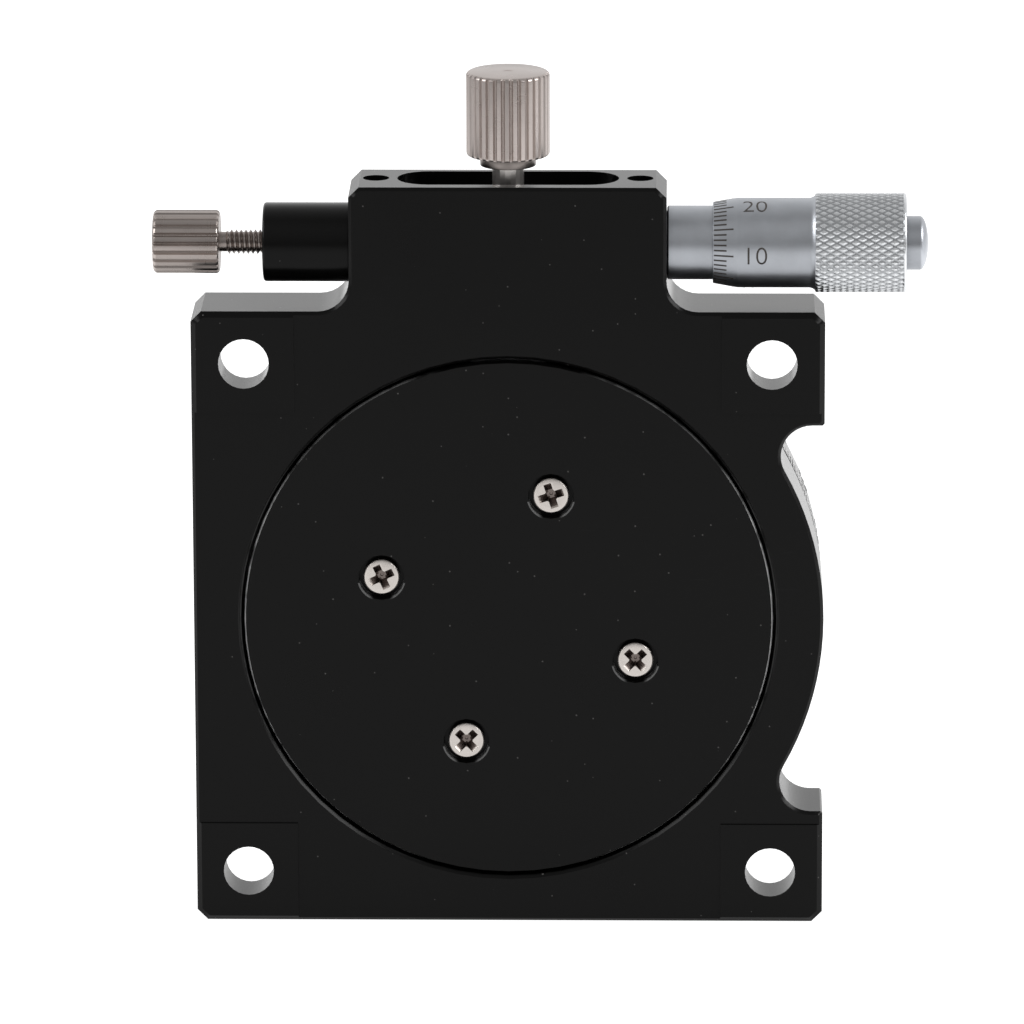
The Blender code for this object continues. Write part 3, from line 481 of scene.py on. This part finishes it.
# %% Milled pieces
def refined(node, name, width, face_edge=None):
    """face_edge is the radius to which the outermost ring of the front face is brought."""
    piece = bpy.data.objects.new(name, nodes[node].data.copy())
    bpy.context.scene.collection.objects.link(piece)
    only(piece)
    bpy.ops.object.mode_set(mode="EDIT")
    bpy.ops.mesh.select_all(action="SELECT")
    bpy.ops.mesh.remove_doubles(threshold=1e-6)
    bpy.ops.mesh.dissolve_limited(angle_limit=math.radians(0.5))
    if face_edge:
        bpy.ops.mesh.select_all(action="DESELECT")
        bpy.ops.object.mode_set(mode="OBJECT")
        front = [v for v in piece.data.vertices if v.co.y < span(node, "Y")[0] + 0.01 * MM]
        widest = max(math.hypot(v.co.x, v.co.z) for v in front)
        for vertex in front:
            vertex.select = math.hypot(vertex.co.x, vertex.co.z) > widest - 0.01 * MM
        bpy.ops.object.mode_set(mode="EDIT")
        bpy.ops.transform.resize(value=(face_edge / widest, 1, face_edge / widest), center_override=(0, 0, 0))
        print(name, "face edge from %.2f to %.2f mm" % (widest / MM, face_edge / MM))
    bpy.ops.object.mode_set(mode="OBJECT")
    soften(piece, width)
    return piece


DISC_R = reach("rotor_disc")
base = refined("base_body", "stage_base", 0.05 * MM)
dressed(base, "base", ANODISED, "anodised_black", "base_body")
disc = refined("rotor_disc", "retaining_disc", 0.04 * MM, DISC_R - 0.15 * MM)
dressed(disc, "rotor", DISC_BLACK, "anodised_black", "rotor_disc")
table = refined("table", "turning_table", 0.06 * MM)
dressed(table, "rotor", ANODISED, "anodised_black", "table")
print("milled pieces", [len(piece.data.polygons) for piece in (base, disc, table)])

# %% [markdown]
# ## Patterns that run round a piece
# Knurls, flutes and threads are all a radius that changes with the place along the axis and the angle. A
# flat grid is embossed with that radius and rolled up, then its seam is merged and its ends are closed. With
# a bore, the grid runs back inside and the piece is a tube.

# %% Rolled surfaces
def round_line(axis, line, along, wide, angle):
    """Places at a distance along a line and a radius and angle round it, in the order that a mesh takes."""
    first, second = wide * np.cos(angle), wide * np.sin(angle)
    columns = {"X": (along, first, second), "Y": (second, along, first), "Z": (first, second, along)}[axis]
    return (np.stack(columns, 1) + np.array(line)).ravel()


def rolled(name, axis, line, places, around, radius, bore=None):
    """Rolls a grid round an axis. radius(place, angle) works on whole arrays, and bore makes a tube."""
    if bore:
        places = [places[0], *places, places[-1], places[0]]
    bpy.ops.object.select_all(action="DESELECT")
    rows = len(places) - 1
    bpy.ops.mesh.primitive_grid_add(x_subdivisions=rows, y_subdivisions=around, size=1, location=(0, 0, 0))
    piece = bpy.context.object
    piece.name = name
    flat = np.zeros(len(piece.data.vertices) * 3)
    piece.data.vertices.foreach_get("co", flat)
    flat = flat.reshape(-1, 3)
    row = np.rint((flat[:, 0] + 0.5) * rows).astype(int)
    column = np.rint((flat[:, 1] + 0.5) * around).astype(int) % around
    angle = column * (math.tau / around)
    along = np.array(places)[row]
    wide = radius(along, angle)
    if bore:
        wide[(row == 0) | (row >= rows - 1)] = bore
    piece.data.vertices.foreach_set("co", round_line(axis, line, along, wide, angle))
    only(piece)
    bpy.ops.object.mode_set(mode="EDIT")
    bpy.ops.mesh.select_all(action="SELECT")
    bpy.ops.mesh.remove_doubles(threshold=1e-8)
    bpy.ops.mesh.fill_holes(sides=0)
    bpy.ops.object.mode_set(mode="OBJECT")
    outward(piece)
    return piece


print("grids roll round", list(AXES))

# %% [markdown]
# ## Micrometer sleeve, thimble and cap
# The sleeve is plain where the thimble leaves it, the thimble has a shallow cone for its scale, and the cap
# is a ratchet knob with a domed end. All three are turned.

# %% Micrometer body
SLEEVE_R = reach("micrometer_sleeve")
STEM_R = 3.0 * MM
NECK_SIDE = 15.0 * MM
SEAM = 0.05 * MM
SPINDLE_BORE_R = 1.95 * MM
sleeve_from, sleeve_to = span("micrometer_sleeve", "X")
sleeve = turned("sleeve", "X", THRUST, [
    (sleeve_from, SPINDLE_BORE_R), (sleeve_from, STEM_R), (NECK_SIDE + SEAM, STEM_R),
    (NECK_SIDE + SEAM, SLEEVE_R - 0.16 * MM), (NECK_SIDE + SEAM + 0.12 * MM, SLEEVE_R), (sleeve_to, SLEEVE_R),
    (sleeve_to, 2.05 * MM), (sleeve_from, 2.05 * MM)])
soften(sleeve, 0.05 * MM)
dressed(sleeve, "base", CHROME, "satin_chrome", "micrometer_sleeve")

lip_at, core_to = span("thimble", "X")
THIMBLE_R = 4.25 * MM
LIP_R = 3.825 * MM
LIP_BORE_R = 3.65 * MM
CORE_R = 3.95 * MM
HUB_LONG = 4.0 * MM
bevel_to = lip_at + 2.35 * MM
GRIP_AT = span("thimble_grip", "X")[0]
flare = [(GRIP_AT + 0.02 * MM, 4.52 * MM), (GRIP_AT - 0.12 * MM, 4.40 * MM), (GRIP_AT - 0.30 * MM, 4.30 * MM),
         (GRIP_AT - 0.50 * MM, THIMBLE_R)]
thimble = turned("thimble_shell", "X", THRUST, [
    (core_to, SPINDLE_BORE_R), (core_to, CORE_R), (GRIP_AT + 0.02 * MM, CORE_R), *flare, (bevel_to, THIMBLE_R),
    (lip_at, LIP_R), (lip_at, LIP_BORE_R), (core_to - HUB_LONG, LIP_BORE_R), (core_to - HUB_LONG, 1.9 * MM)])
soften(thimble, 0.05 * MM, 2, 8)
dressed(thimble, "thimble", CHROME, "satin_chrome", "thimble")

cap_from, cap_to = span("thimble_cap", "X")
CAP_R = reach("thimble_cap")
DOME = 0.8 * MM
dome = [(cap_to - DOME * (1 - math.sin(turn)), CAP_R * math.cos(turn))
        for turn in (math.radians(10 * step) for step in range(1, 9))]
cap = turned("ratchet_cap", "X", THRUST, [
    (cap_from, CAP_R), (cap_to - DOME, CAP_R), *dome, (cap_to, 0.05 * MM)], 72)
soften(cap, 0.04 * MM, 2, 25)
dressed(cap, "thimble", CHROME, "satin_chrome", "thimble_cap")
print("sleeve, thimble and cap turned")

# %% [markdown]
# ## Spring barrel
# The black tube on the other side of the neck holds the spring. It is one turning with a rounded outer edge,
# a clearance hole for the lock screw and a wide bore from the neck's side.

# %% Spring barrel
BARREL_R = reach("spring_barrel")
barrel_from, barrel_to = span("spring_barrel", "X")
barrel_wall = barrel_from + 1.7 * MM
SPRING_BORE_R, LOCK_BORE_R, EDGE_R = 2.3 * MM, 1.4 * MM, 0.3 * MM
edge = [(barrel_from + EDGE_R * (1 - math.cos(turn)), BARREL_R - EDGE_R * (1 - math.sin(turn)))
        for turn in (math.radians(15 * step) for step in range(7))]
barrel = turned("barrel", "X", THRUST, [
    (barrel_to, SPRING_BORE_R), (barrel_wall, SPRING_BORE_R), (barrel_wall, LOCK_BORE_R),
    (barrel_from + 0.2 * MM, LOCK_BORE_R), (barrel_from, 1.6 * MM), *edge, (-NECK_SIDE - SEAM, BARREL_R),
    (-NECK_SIDE - SEAM, STEM_R), (barrel_to, STEM_R), (barrel_to, 2.32 * MM)], 120)
soften(barrel, 0.04 * MM, 2, 40)
dressed(barrel, "base", ANODISED, "anodised_black", "spring_barrel")
print("barrel faces", len(barrel.data.polygons))

# %% [markdown]
# ## Knurled grip
# A diamond knurl is two sets of helical grooves that cross. Each set is a wave of the angle and the place
# along the axis, and what stands up is where neither groove cuts. The grooves run out before both ends, and
# a bore leaves room for the thimble's core.

# %% Knurled grip
grip_from, grip_to = span("thimble_grip", "X")
GRIP_BORE_R = 3.97 * MM
KNURL_PITCH = 1.217 * MM
KNURL_STARTS = 44
LAND = 0.30
PLAIN_END, RUN_OUT = 0.04 * MM, 0.08 * MM
BREAK, BREAK_SLOPE = 0.16 * MM, 0.6
RIM = 0.22 * MM


def knurl(place, angle):
    turns = angle * KNURL_STARTS / math.tau
    left = np.abs(np.mod(place / KNURL_PITCH + turns, 1) - 0.5) * 2
    right = np.abs(np.mod(place / KNURL_PITCH - turns, 1) - 0.5) * 2
    groove = np.clip(1 - np.minimum(1 - left, 1 - right) / (1 - LAND), 0, 1)
    near, far = place - grip_from, grip_to - place
    fade = np.clip((near - PLAIN_END) / RUN_OUT, 0, 1) * np.clip((far - RIM) / RUN_OUT, 0, 1)
    round_near = BREAK_SLOPE * np.clip(BREAK - near, 0, None)
    round_far = RIM - np.sqrt(np.clip(RIM ** 2 - np.clip(RIM - far, 0, RIM) ** 2, 0, None))
    return GRIP_R - KNURL_DEPTH * groove * fade - round_near - round_far


grip_rows = int((grip_to - RIM - grip_from) / (KNURL_PITCH / 12))
rim_rows = [grip_to - RIM * share for share in (0.85, 0.7, 0.5, 0.35, 0.2, 0.1, 0.03, 0.0)]
grip_places = np.append(np.linspace(grip_from, grip_to - RIM, grip_rows), rim_rows)
grip = rolled("knurled_grip", "X", THRUST, grip_places, KNURL_STARTS * 8, knurl, GRIP_BORE_R)
smooth(grip, 50)
dressed(grip, "thimble", GRIP_CHROME_LIT, "satin_chrome", "thimble_grip")
print("grip faces", len(grip.data.polygons))

# %% [markdown]
# ## Fluted knobs
# The clamp knob and the lock knob have broad lands with narrow round grooves between them. The turned
# chamfer cuts across land and groove alike, so the radius is the smaller of chamfer and flute.

# %% Fluted knobs
def fluted(name, axis, line, ends, radius, flutes, depth, rounding):
    """Rounding is the size of the turned edge at the low and the high end."""
    low, high = ends
    low_edge, high_edge = rounding
    per_flute = 12

    def turned_edge(distance, size):
        inside = np.clip(1 - distance / size, 0, 1)
        return radius - size * (1 - np.sqrt(1 - 0.92 * inside ** 2)) * 1.25

    def section(place, angle):
        turn = np.mod(angle * flutes / math.tau, 1)
        groove = np.clip(1 - (np.abs(turn - 0.5) / 0.25) ** 2, 0, 1) ** 0.8
        envelope = np.minimum(turned_edge(place - low, low_edge), turned_edge(high - place, high_edge))
        return np.minimum(radius - depth * groove, envelope)

    steps = [0, 0.06, 0.14, 0.24, 0.36, 0.5, 0.65, 0.82, 1.0]
    near = [low + low_edge * step for step in steps]
    far = [high - high_edge * step for step in reversed(steps)]
    piece = rolled(name, axis, line, near + far, flutes * per_flute, section)
    smooth(piece, 28)
    return piece


clamp_from, clamp_to = span("clamp_knob", "Z")
COLLAR_R, COLLAR_BORE_R, COLLAR_HIGH = 2.65 * MM, 1.6 * MM, 1.0 * MM
knob_body_from = clamp_from + COLLAR_HIGH
collar_to = knob_body_from + 0.2 * MM
clamp_knob = fluted("clamp_knob_fluted", "Z", CLAMP, (knob_body_from, clamp_to), reach("clamp_knob", "X"), 32,
                    0.26 * MM, (0.26 * MM, 0.38 * MM))
collar = turned("clamp_knob_collar", "Z", CLAMP, [
    (clamp_from, COLLAR_BORE_R), (clamp_from, COLLAR_R), (collar_to, COLLAR_R), (collar_to, COLLAR_BORE_R)])
soften(collar, 0.08 * MM)
dressed(collar, "clamp_knob", KNOB_COLLAR_SHADED, "knob_steel", "clamp_knob")
mark = turned("mark", "Z", CLAMP, [(clamp_to - 0.05 * MM, 0.35 * MM), (clamp_to + 0.05 * MM, 0.75 * MM)], 24)
cut(clamp_knob, mark)
dressed(clamp_knob, "clamp_knob", KNOB_UPRIGHT, "knob_steel", "clamp_knob")

lock_from, lock_to = span("lock_knob", "X")
lock_knob = fluted("lock_knob_fluted", "X", THRUST, (lock_from, lock_to), reach("lock_knob"), 22, 0.28 * MM,
                   (0.42 * MM, 0.34 * MM))
dressed(lock_knob, "lock_knob", KNOB_LEVEL, "knob_steel", "lock_knob")
print("knob faces", len(clamp_knob.data.polygons), len(lock_knob.data.polygons))

# %% [markdown]
# ## Lock screw
# The M2.5 thread between barrel and knob is in plain view, with a smooth undercut below the knob. One turn
# of the helix is one pitch, so the radius follows the place along the axis minus the angle's share.

# %% Lock screw
PITCH = 0.45 * MM
thread_from, thread_to = span("lock_screw", "X")
UNDERCUT_TO = -26.75 * MM
ROOT_R, RIDGE, FADE = 0.94 * MM, 0.24 * MM, 0.3 * MM


def thread(place, angle):
    turn = np.mod(place / PITCH - angle / math.tau, 1)
    ridge = np.clip(1.06 - 3.2 * np.abs(turn - 0.5), 0, 1)
    fade = np.clip((place - UNDERCUT_TO) / FADE, 0, 1) * np.clip((thread_to - place) / FADE, 0, 1)
    return ROOT_R + RIDGE * ridge * fade


lock_rows = int((thread_to - thread_from) / (PITCH / 14))
lock_screw = rolled("lock_thread", "X", THRUST, np.linspace(thread_from, thread_to, lock_rows), 40, thread)
smooth(lock_screw, 50)
dressed(lock_screw, "lock_stem", LOCK_THREAD, "screw_nickel", "lock_screw")
print("thread faces", len(lock_screw.data.polygons))

# %% [markdown]
# ## Disc screws
# Four cross-recess screws hold the disc. One head is turned and its recess is cut with two tapered bars and
# a cone in the middle. The other three are copies, each turned as it was left in the real one.

# %% Disc screws
HEAD_R, SHAFT_R = 1.70 * MM, 1.05 * MM
head_low, head_high = span("disc_screw_1", "Y")
under_head = head_low + 0.8 * MM
head = turned("screw_head", "Y", ROTOR, [
    (head_high, 0.9 * MM), (head_high, SHAFT_R), (under_head, SHAFT_R), (under_head, HEAD_R),
    (head_low + 0.12 * MM, HEAD_R), (head_low + 0.03 * MM, HEAD_R - 0.1 * MM), (head_low, HEAD_R - 0.3 * MM)], 72)
CROSS_SPAN, CROSS_WIDTH, CROSS_DEPTH = 2.75 * MM, 0.80 * MM, 1.0 * MM


def cross_bar(turn):
    """A wedge that narrows with depth, as the driver's wing does."""
    bpy.ops.object.select_all(action="DESELECT")
    bpy.ops.mesh.primitive_cube_add(size=1, location=(0, head_low + CROSS_DEPTH / 2 - 0.1 * MM, 0))
    bar = bpy.context.object
    bar.scale = (CROSS_SPAN, CROSS_DEPTH + 0.2 * MM, CROSS_WIDTH)
    settle()
    only(bar)
    bpy.ops.object.mode_set(mode="EDIT")
    bpy.ops.mesh.select_all(action="DESELECT")
    bpy.ops.object.mode_set(mode="OBJECT")
    deep = head_low + CROSS_DEPTH / 2
    for vertex in bar.data.vertices:
        vertex.select = vertex.co.y > deep
    bpy.ops.object.mode_set(mode="EDIT")
    bpy.ops.transform.resize(value=(0.30, 1, 0.55), center_override=(0, head_low, 0))
    bpy.ops.mesh.select_all(action="SELECT")
    bpy.ops.transform.rotate(value=turn, orient_axis="Y", center_override=(0, 0, 0))
    bpy.ops.object.mode_set(mode="OBJECT")
    return bar


cut(head, cross_bar(0))
cut(head, cross_bar(math.pi / 2))
cone = turned("recess_cone", "Y", ROTOR, [(head_low - 0.1 * MM, 0.66 * MM), (head_low + 1.1 * MM, 0.12 * MM)], 8)
cut(head, cone)
smooth(head, 30)
SCREW_TURNS = {"disc_screw_1": -18, "disc_screw_2": -25, "disc_screw_3": 45, "disc_screw_4": 46}
for node, degrees in SCREW_TURNS.items():
    screw = bpy.data.objects.new(node + "_cross", head.data.copy())
    bpy.context.scene.collection.objects.link(screw)
    centre = middle(node)
    turn = Matrix.Rotation(math.radians(degrees), 4, "Y")
    screw.data.transform(Matrix.Translation((centre.x, 0, centre.z)) @ turn)
    dressed(screw, "rotor", NICKEL, "screw_nickel", node)
bpy.data.objects.remove(head)
print("disc screws", len(SCREW_TURNS))

# %% [markdown]
# ## Scales
# Lines and figures are thin plates that stand a hair proud of the metal. They are drawn flat, cut into
# narrow strips so that they bend, and rolled onto the cylinder or cone that carries them.

# %% Drawing and rolling marks
def flat_bar(wide, high, x=0.0, y=0.0):
    bpy.ops.object.select_all(action="DESELECT")
    bpy.ops.mesh.primitive_plane_add(size=1, location=(x, y, 0))
    bar = bpy.context.object
    bar.scale = (wide, high, 1)
    return settle()


def flat_text(figures, high, x, y, align="LEFT"):
    """Figures as a flat mesh, centred on y, whose thin strokes are those of an engraving tool."""
    bpy.ops.object.select_all(action="DESELECT")
    bpy.ops.object.text_add(location=(0, 0, 0))
    text = bpy.context.object
    text.data.body = figures
    text.data.align_x = align
    text.data.offset = -0.03 * MM
    text.data.size = high * 1.4
    bpy.ops.object.convert(target="MESH")
    flat = bpy.context.object
    flat.location = (x, y - high / 2, 0)
    return settle()


def joined(name, pieces):
    only(pieces[0])
    for piece in pieces:
        piece.select_set(True)
    bpy.ops.object.join()
    pieces[0].name = name
    return pieces[0]


def sliced(piece, low, high, step, normal):
    """Cuts a flat mesh into strips, so that it can follow a curve."""
    only(piece)
    bpy.ops.object.mode_set(mode="EDIT")
    for number in range(1, int((high - low) / step)):
        bpy.ops.mesh.select_all(action="SELECT")
        bpy.ops.mesh.bisect(plane_co=Vector(normal) * (low + number * step), plane_no=normal)
    bpy.ops.object.mode_set(mode="OBJECT")


def raised(piece, height):
    """Gives a flat mesh a thickness, upwards."""
    only(piece)
    bpy.ops.object.mode_set(mode="EDIT")
    bpy.ops.mesh.select_all(action="SELECT")
    bpy.ops.mesh.extrude_region_move(TRANSFORM_OT_translate={"value": (0, 0, height)})
    bpy.ops.object.mode_set(mode="OBJECT")
    outward(piece)


def wrap(piece, axis, line, radius, start):
    """Rolls a flat piece: its x runs along the axis and its y runs round, and z is height over the metal."""
    flat = np.zeros(len(piece.data.vertices) * 3)
    piece.data.vertices.foreach_get("co", flat)
    along, round_way, height = flat.reshape(-1, 3).T
    wide = radius(along) + height
    angle = start - round_way / radius(along.max())
    piece.data.vertices.foreach_set("co", round_line(axis, line, along, wide, angle))
    piece.data.update()
    outward(piece)


def turned_copy(piece, axis, line, degrees):
    """Another one of a mark, further round."""
    copy = bpy.data.objects.new(piece.name, piece.data.copy())
    bpy.context.scene.collection.objects.link(copy)
    around = Matrix.Translation(line) @ Matrix.Rotation(math.radians(degrees), 4, axis) @ Matrix.Translation(-line)
    copy.data.transform(around)
    return copy


MARK_SINK, MARK_PROUD = 0.02 * MM, 0.012 * MM
MARK_HIGH = MARK_SINK + MARK_PROUD
print("marks stand %.3f mm proud" % (MARK_PROUD / MM))

# %% [markdown]
# ## Thimble scale
# Fifty divisions go round the cone, one for each hundredth of a millimetre. Every fifth is longer and the
# tens are numbered. The zero is turned so that 10 and 20 face the camera, as in the photograph.

# %% Thimble scale
def cone_radius(along):
    return np.interp(along, [lip_at, bevel_to], [LIP_R, THIMBLE_R]) - MARK_SINK


DIVISIONS = 50
DIVISION = 360 / DIVISIONS


def division_angle(number):
    """Angle from +Y towards +Z: division 10 is 6 degrees below the camera's side."""
    return math.radians(180 + 6 - (number - 10) * DIVISION)


thimble_marks = []
for long, numbers in ((1.85, range(0, DIVISIONS, 5)), (1.2, [n for n in range(DIVISIONS) if n % 5])):
    bar = flat_bar(long * MM, 0.16 * MM, lip_at + (0.1 + long / 2) * MM)
    raised(bar, MARK_HIGH)
    wrap(bar, "X", THRUST, cone_radius, division_angle(0))
    thimble_marks += [turned_copy(bar, "X", THRUST, -DIVISION * number) for number in numbers]
    bpy.data.objects.remove(bar)
for number in range(0, DIVISIONS, 10):
    figures = flat_text(str(number), 1.77 * MM, lip_at + 2.75 * MM, 0.1 * MM)
    sliced(figures, -1.2 * MM, 1.2 * MM, 0.2 * MM, (0, 1, 0))
    raised(figures, MARK_HIGH)
    wrap(figures, "X", THRUST, cone_radius, division_angle(number))
    thimble_marks.append(figures)
thimble_scale = joined("thimble_scale", thimble_marks)
dressed(thimble_scale, "thimble", DARK_PAINT, "satin_chrome")
print("thimble marks", len(thimble_marks))

# %% [markdown]
# ## Sleeve scale
# The sleeve's own scale is on its far side: a long datum line, a tick for each millimetre above it and one
# for each half below. It runs on under the thimble, which uncovers it as the spindle backs out.

# %% Sleeve scale
def sleeve_radius(along):
    return np.full_like(along, SLEEVE_R) - MARK_SINK


DATUM = [16.2 * MM, 23.4 * MM]
datum = flat_bar(DATUM[1] - DATUM[0], 0.1 * MM, sum(DATUM) / 2)
sleeve_marks = [datum]
for half in range(15):
    long = (1.3 if half % 10 == 0 else 0.95) * MM
    side = 1 if half % 2 == 0 else -1
    sleeve_marks.append(flat_bar(0.1 * MM, long, DATUM[0] + half * 0.5 * MM, side * long / 2))
for number in (0, 5):
    sleeve_marks.append(flat_text(str(number), 1.1 * MM, DATUM[0] + number * MM, 2.0 * MM, "CENTER"))
for piece in sleeve_marks:
    sliced(piece, -1.2 * MM, 2.8 * MM, 0.25 * MM, (0, 1, 0))
    raised(piece, MARK_HIGH)
    wrap(piece, "X", THRUST, sleeve_radius, 0.0)
sleeve_scale = joined("sleeve_scale", sleeve_marks)
dressed(sleeve_scale, "base", DARK_PAINT, "satin_chrome")
print("sleeve marks", len(sleeve_marks))

# %% [markdown]
# ## Scale on the table's rim
# The rim has a line for each degree, longer at the fives and tens, and a figure at every ten. In the
# photograph they show at a flat angle in the scallops. One line on the base's bulge is the index.

# %% Rim scale
RIM_R = reach("table", "X")
BULGE_R = 30.0 * MM
rim_near = min(v.co.y for v in table.data.vertices if math.hypot(v.co.x, v.co.z) > RIM_R - 0.02 * MM)
print("rim from y %.2f mm" % (rim_near / MM))


def rim_radius(along):
    return np.full_like(along, RIM_R) - MARK_SINK


rim_marks = []
FULL_TURN = range(360)
for long, degrees in ((3.2, [d for d in FULL_TURN if d % 10 == 0]), (2.6, [d for d in FULL_TURN if d % 10 == 5]),
                      (2.0, [d for d in FULL_TURN if d % 5])):
    bar = flat_bar(long * MM, 0.12 * MM, rim_near + (0.28 + long / 2) * MM)
    raised(bar, MARK_HIGH)
    wrap(bar, "Y", ROTOR, rim_radius, math.radians(90))
    rim_marks += [turned_copy(bar, "Y", ROTOR, degree) for degree in degrees]
    bpy.data.objects.remove(bar)
for degree in range(0, 360, 10):
    figures = flat_text(str(degree), 1.25 * MM, 0, 0, "CENTER")
    figures.data.transform(Matrix.Translation((rim_near + 4.3 * MM, 0, 0)) @ Matrix.Rotation(-math.pi / 2, 4, "Z"))
    sliced(figures, -1.6 * MM, 1.6 * MM, 0.4 * MM, (0, 1, 0))
    raised(figures, MARK_HIGH)
    wrap(figures, "Y", ROTOR, rim_radius, math.radians(90 + degree))
    rim_marks.append(figures)
rim_scale = joined("rim_scale", rim_marks)
dressed(rim_scale, "rotor", WHITE_PAINT, "anodised_black")

def bulge_radius(along):
    return np.full_like(along, BULGE_R) - MARK_SINK


index_line = flat_bar(2.6 * MM, 0.16 * MM, rim_near - 1.95 * MM)
raised(index_line, MARK_HIGH)
wrap(index_line, "Y", ROTOR, bulge_radius, math.radians(90))
index_line.name = "index_line"
dressed(index_line, "base", WHITE_PAINT, "anodised_black")
print("rim marks", len(rim_marks), "faces", len(rim_scale.data.polygons))

# %% [markdown]
# ## Plain nodes
# The pieces inside the neck and the bearing have their final shape in the model. They keep it and get their
# own finish.

# %% Finishes for the model's own nodes
PLAIN = {
    "micrometer_spindle": GROUND, "arm_anvil": GROUND, "plunger": GROUND, "tangent_arm": MACHINED,
    "ball_cage": GROUND, "thrust_washer": PLASTIC, "preload_spring": SPRING, "clamp_screw": SHANK,
    "clamp_shoe": BRASS, "sleeve_set_screw": BLACK_OXIDE, "barrel_set_screw": BLACK_OXIDE,
}
for name, material in PLAIN.items():
    nodes[name].data.materials.clear()
    nodes[name].data.materials.append(material)
    smooth(nodes[name], 30)
print("plain nodes", len(PLAIN))

# %% [markdown]
# ## Studio
# A pale floor runs under the stage, below a sky that is bright behind the stage and dim in front of it,
# which gives the black edges their sheen. The camera sees both white. Metal sees the floor light up near the
# stage and at its two sides, as if by white cards. Two soft lamps at the sides light the stage.

# %% Studio
WHITE = (1, 1, 1, 1)
world = bpy.data.worlds.new("studio")
bpy.context.scene.world = world
world.use_nodes = True
sky = Graph(world.node_tree)
gaze = sky.add("ShaderNodeSeparateXYZ", inputs={0: sky.add("ShaderNodeTexCoord", output="Generated")})
climb = gaze.also("Z").math("ARCTAN2", gaze.also("Z"), gaze.also("Y") * -1)
SKY_STRENGTH = 1.5
SKY = {0: 0.17, 22: 0.40, 48: 0.50, 64: 0.42, 80: 0.28, 96: 0.46, 120: 0.60, 145: 0.85, 163: 0.92, 180: 0.95}
stops = [(angle / 180, grey(level / SKY_STRENGTH)) for angle, level in SKY.items()]
room = sky.add("ShaderNodeValToRGB", {"stops": stops}, {0: climb * (1 / math.pi)})
seen = sky.mix(sky.add("ShaderNodeLightPath", output="Is Camera Ray"), room, grey(1 / SKY_STRENGTH))
backdrop = sky.tree.nodes["Background"]
backdrop.inputs["Strength"].default_value = SKY_STRENGTH
sky.tree.links.new(seen.socket, backdrop.inputs["Color"])


def soft_lamp(name, place, aim, size, watts):
    lamp = bpy.data.objects.new(name, bpy.data.lights.new(name, "AREA"))
    lamp.data.shape = "RECTANGLE"
    lamp.data.size, lamp.data.size_y = size
    lamp.data.energy = watts
    lamp.location = place
    lamp.rotation_euler = (Vector(aim) - Vector(place)).to_track_quat("-Z", "Y").to_euler()
    bpy.context.scene.collection.objects.link(lamp)


soft_lamp("left_side", (-0.62, -0.12, 0.40), (0, 0, 0.02), (0.4, 0.4), 1.8)
soft_lamp("right_side", (0.62, -0.12, 0.40), (0, 0, 0.02), (0.4, 0.4), 2.8)

floor_z = span("base_body", "Z")[0]
bpy.ops.object.select_all(action="DESELECT")
bpy.ops.mesh.primitive_circle_add(vertices=64, radius=2.0, fill_type="NGON", location=(0, 0, floor_z))
floor = settle()
floor.name = "floor"
paper = Finish("pale_floor", Roughness=0.9)
paper.feed("Base Color", paper.mix(paper.noise(300.0, 3.0), grey(0.46), grey(0.50)))
light_path = paper.add("ShaderNodeLightPath", output="Is Camera Ray")
across = paper.add("ShaderNodeSeparateXYZ", inputs={0: paper.place})
near = paper.ramp(across.also("Y"), -0.62, -0.12) * (1 + 0.9 * across)
wide = across * across
cards = paper.ramp(wide, 0.04 ** 2, 0.09 ** 2) * (1 - paper.ramp(wide, 0.16 ** 2, 0.24 ** 2))
glow = light_path * 0.92 + light_path.also("Is Glossy Ray") * (0.06 + 0.38 * near + 0.5 * cards)
white = paper.add("ShaderNodeEmission", inputs={"Color": WHITE, "Strength": glow})
sheet = paper.add("ShaderNodeAddShader", inputs={0: white, 1: Wire(paper, paper.shader.outputs[0])})
paper.tree.links.new(sheet.socket, paper.tree.nodes["Material Output"].inputs["Surface"])
floor.data.materials.append(paper.material)
print("floor at z %.4f" % floor_z)
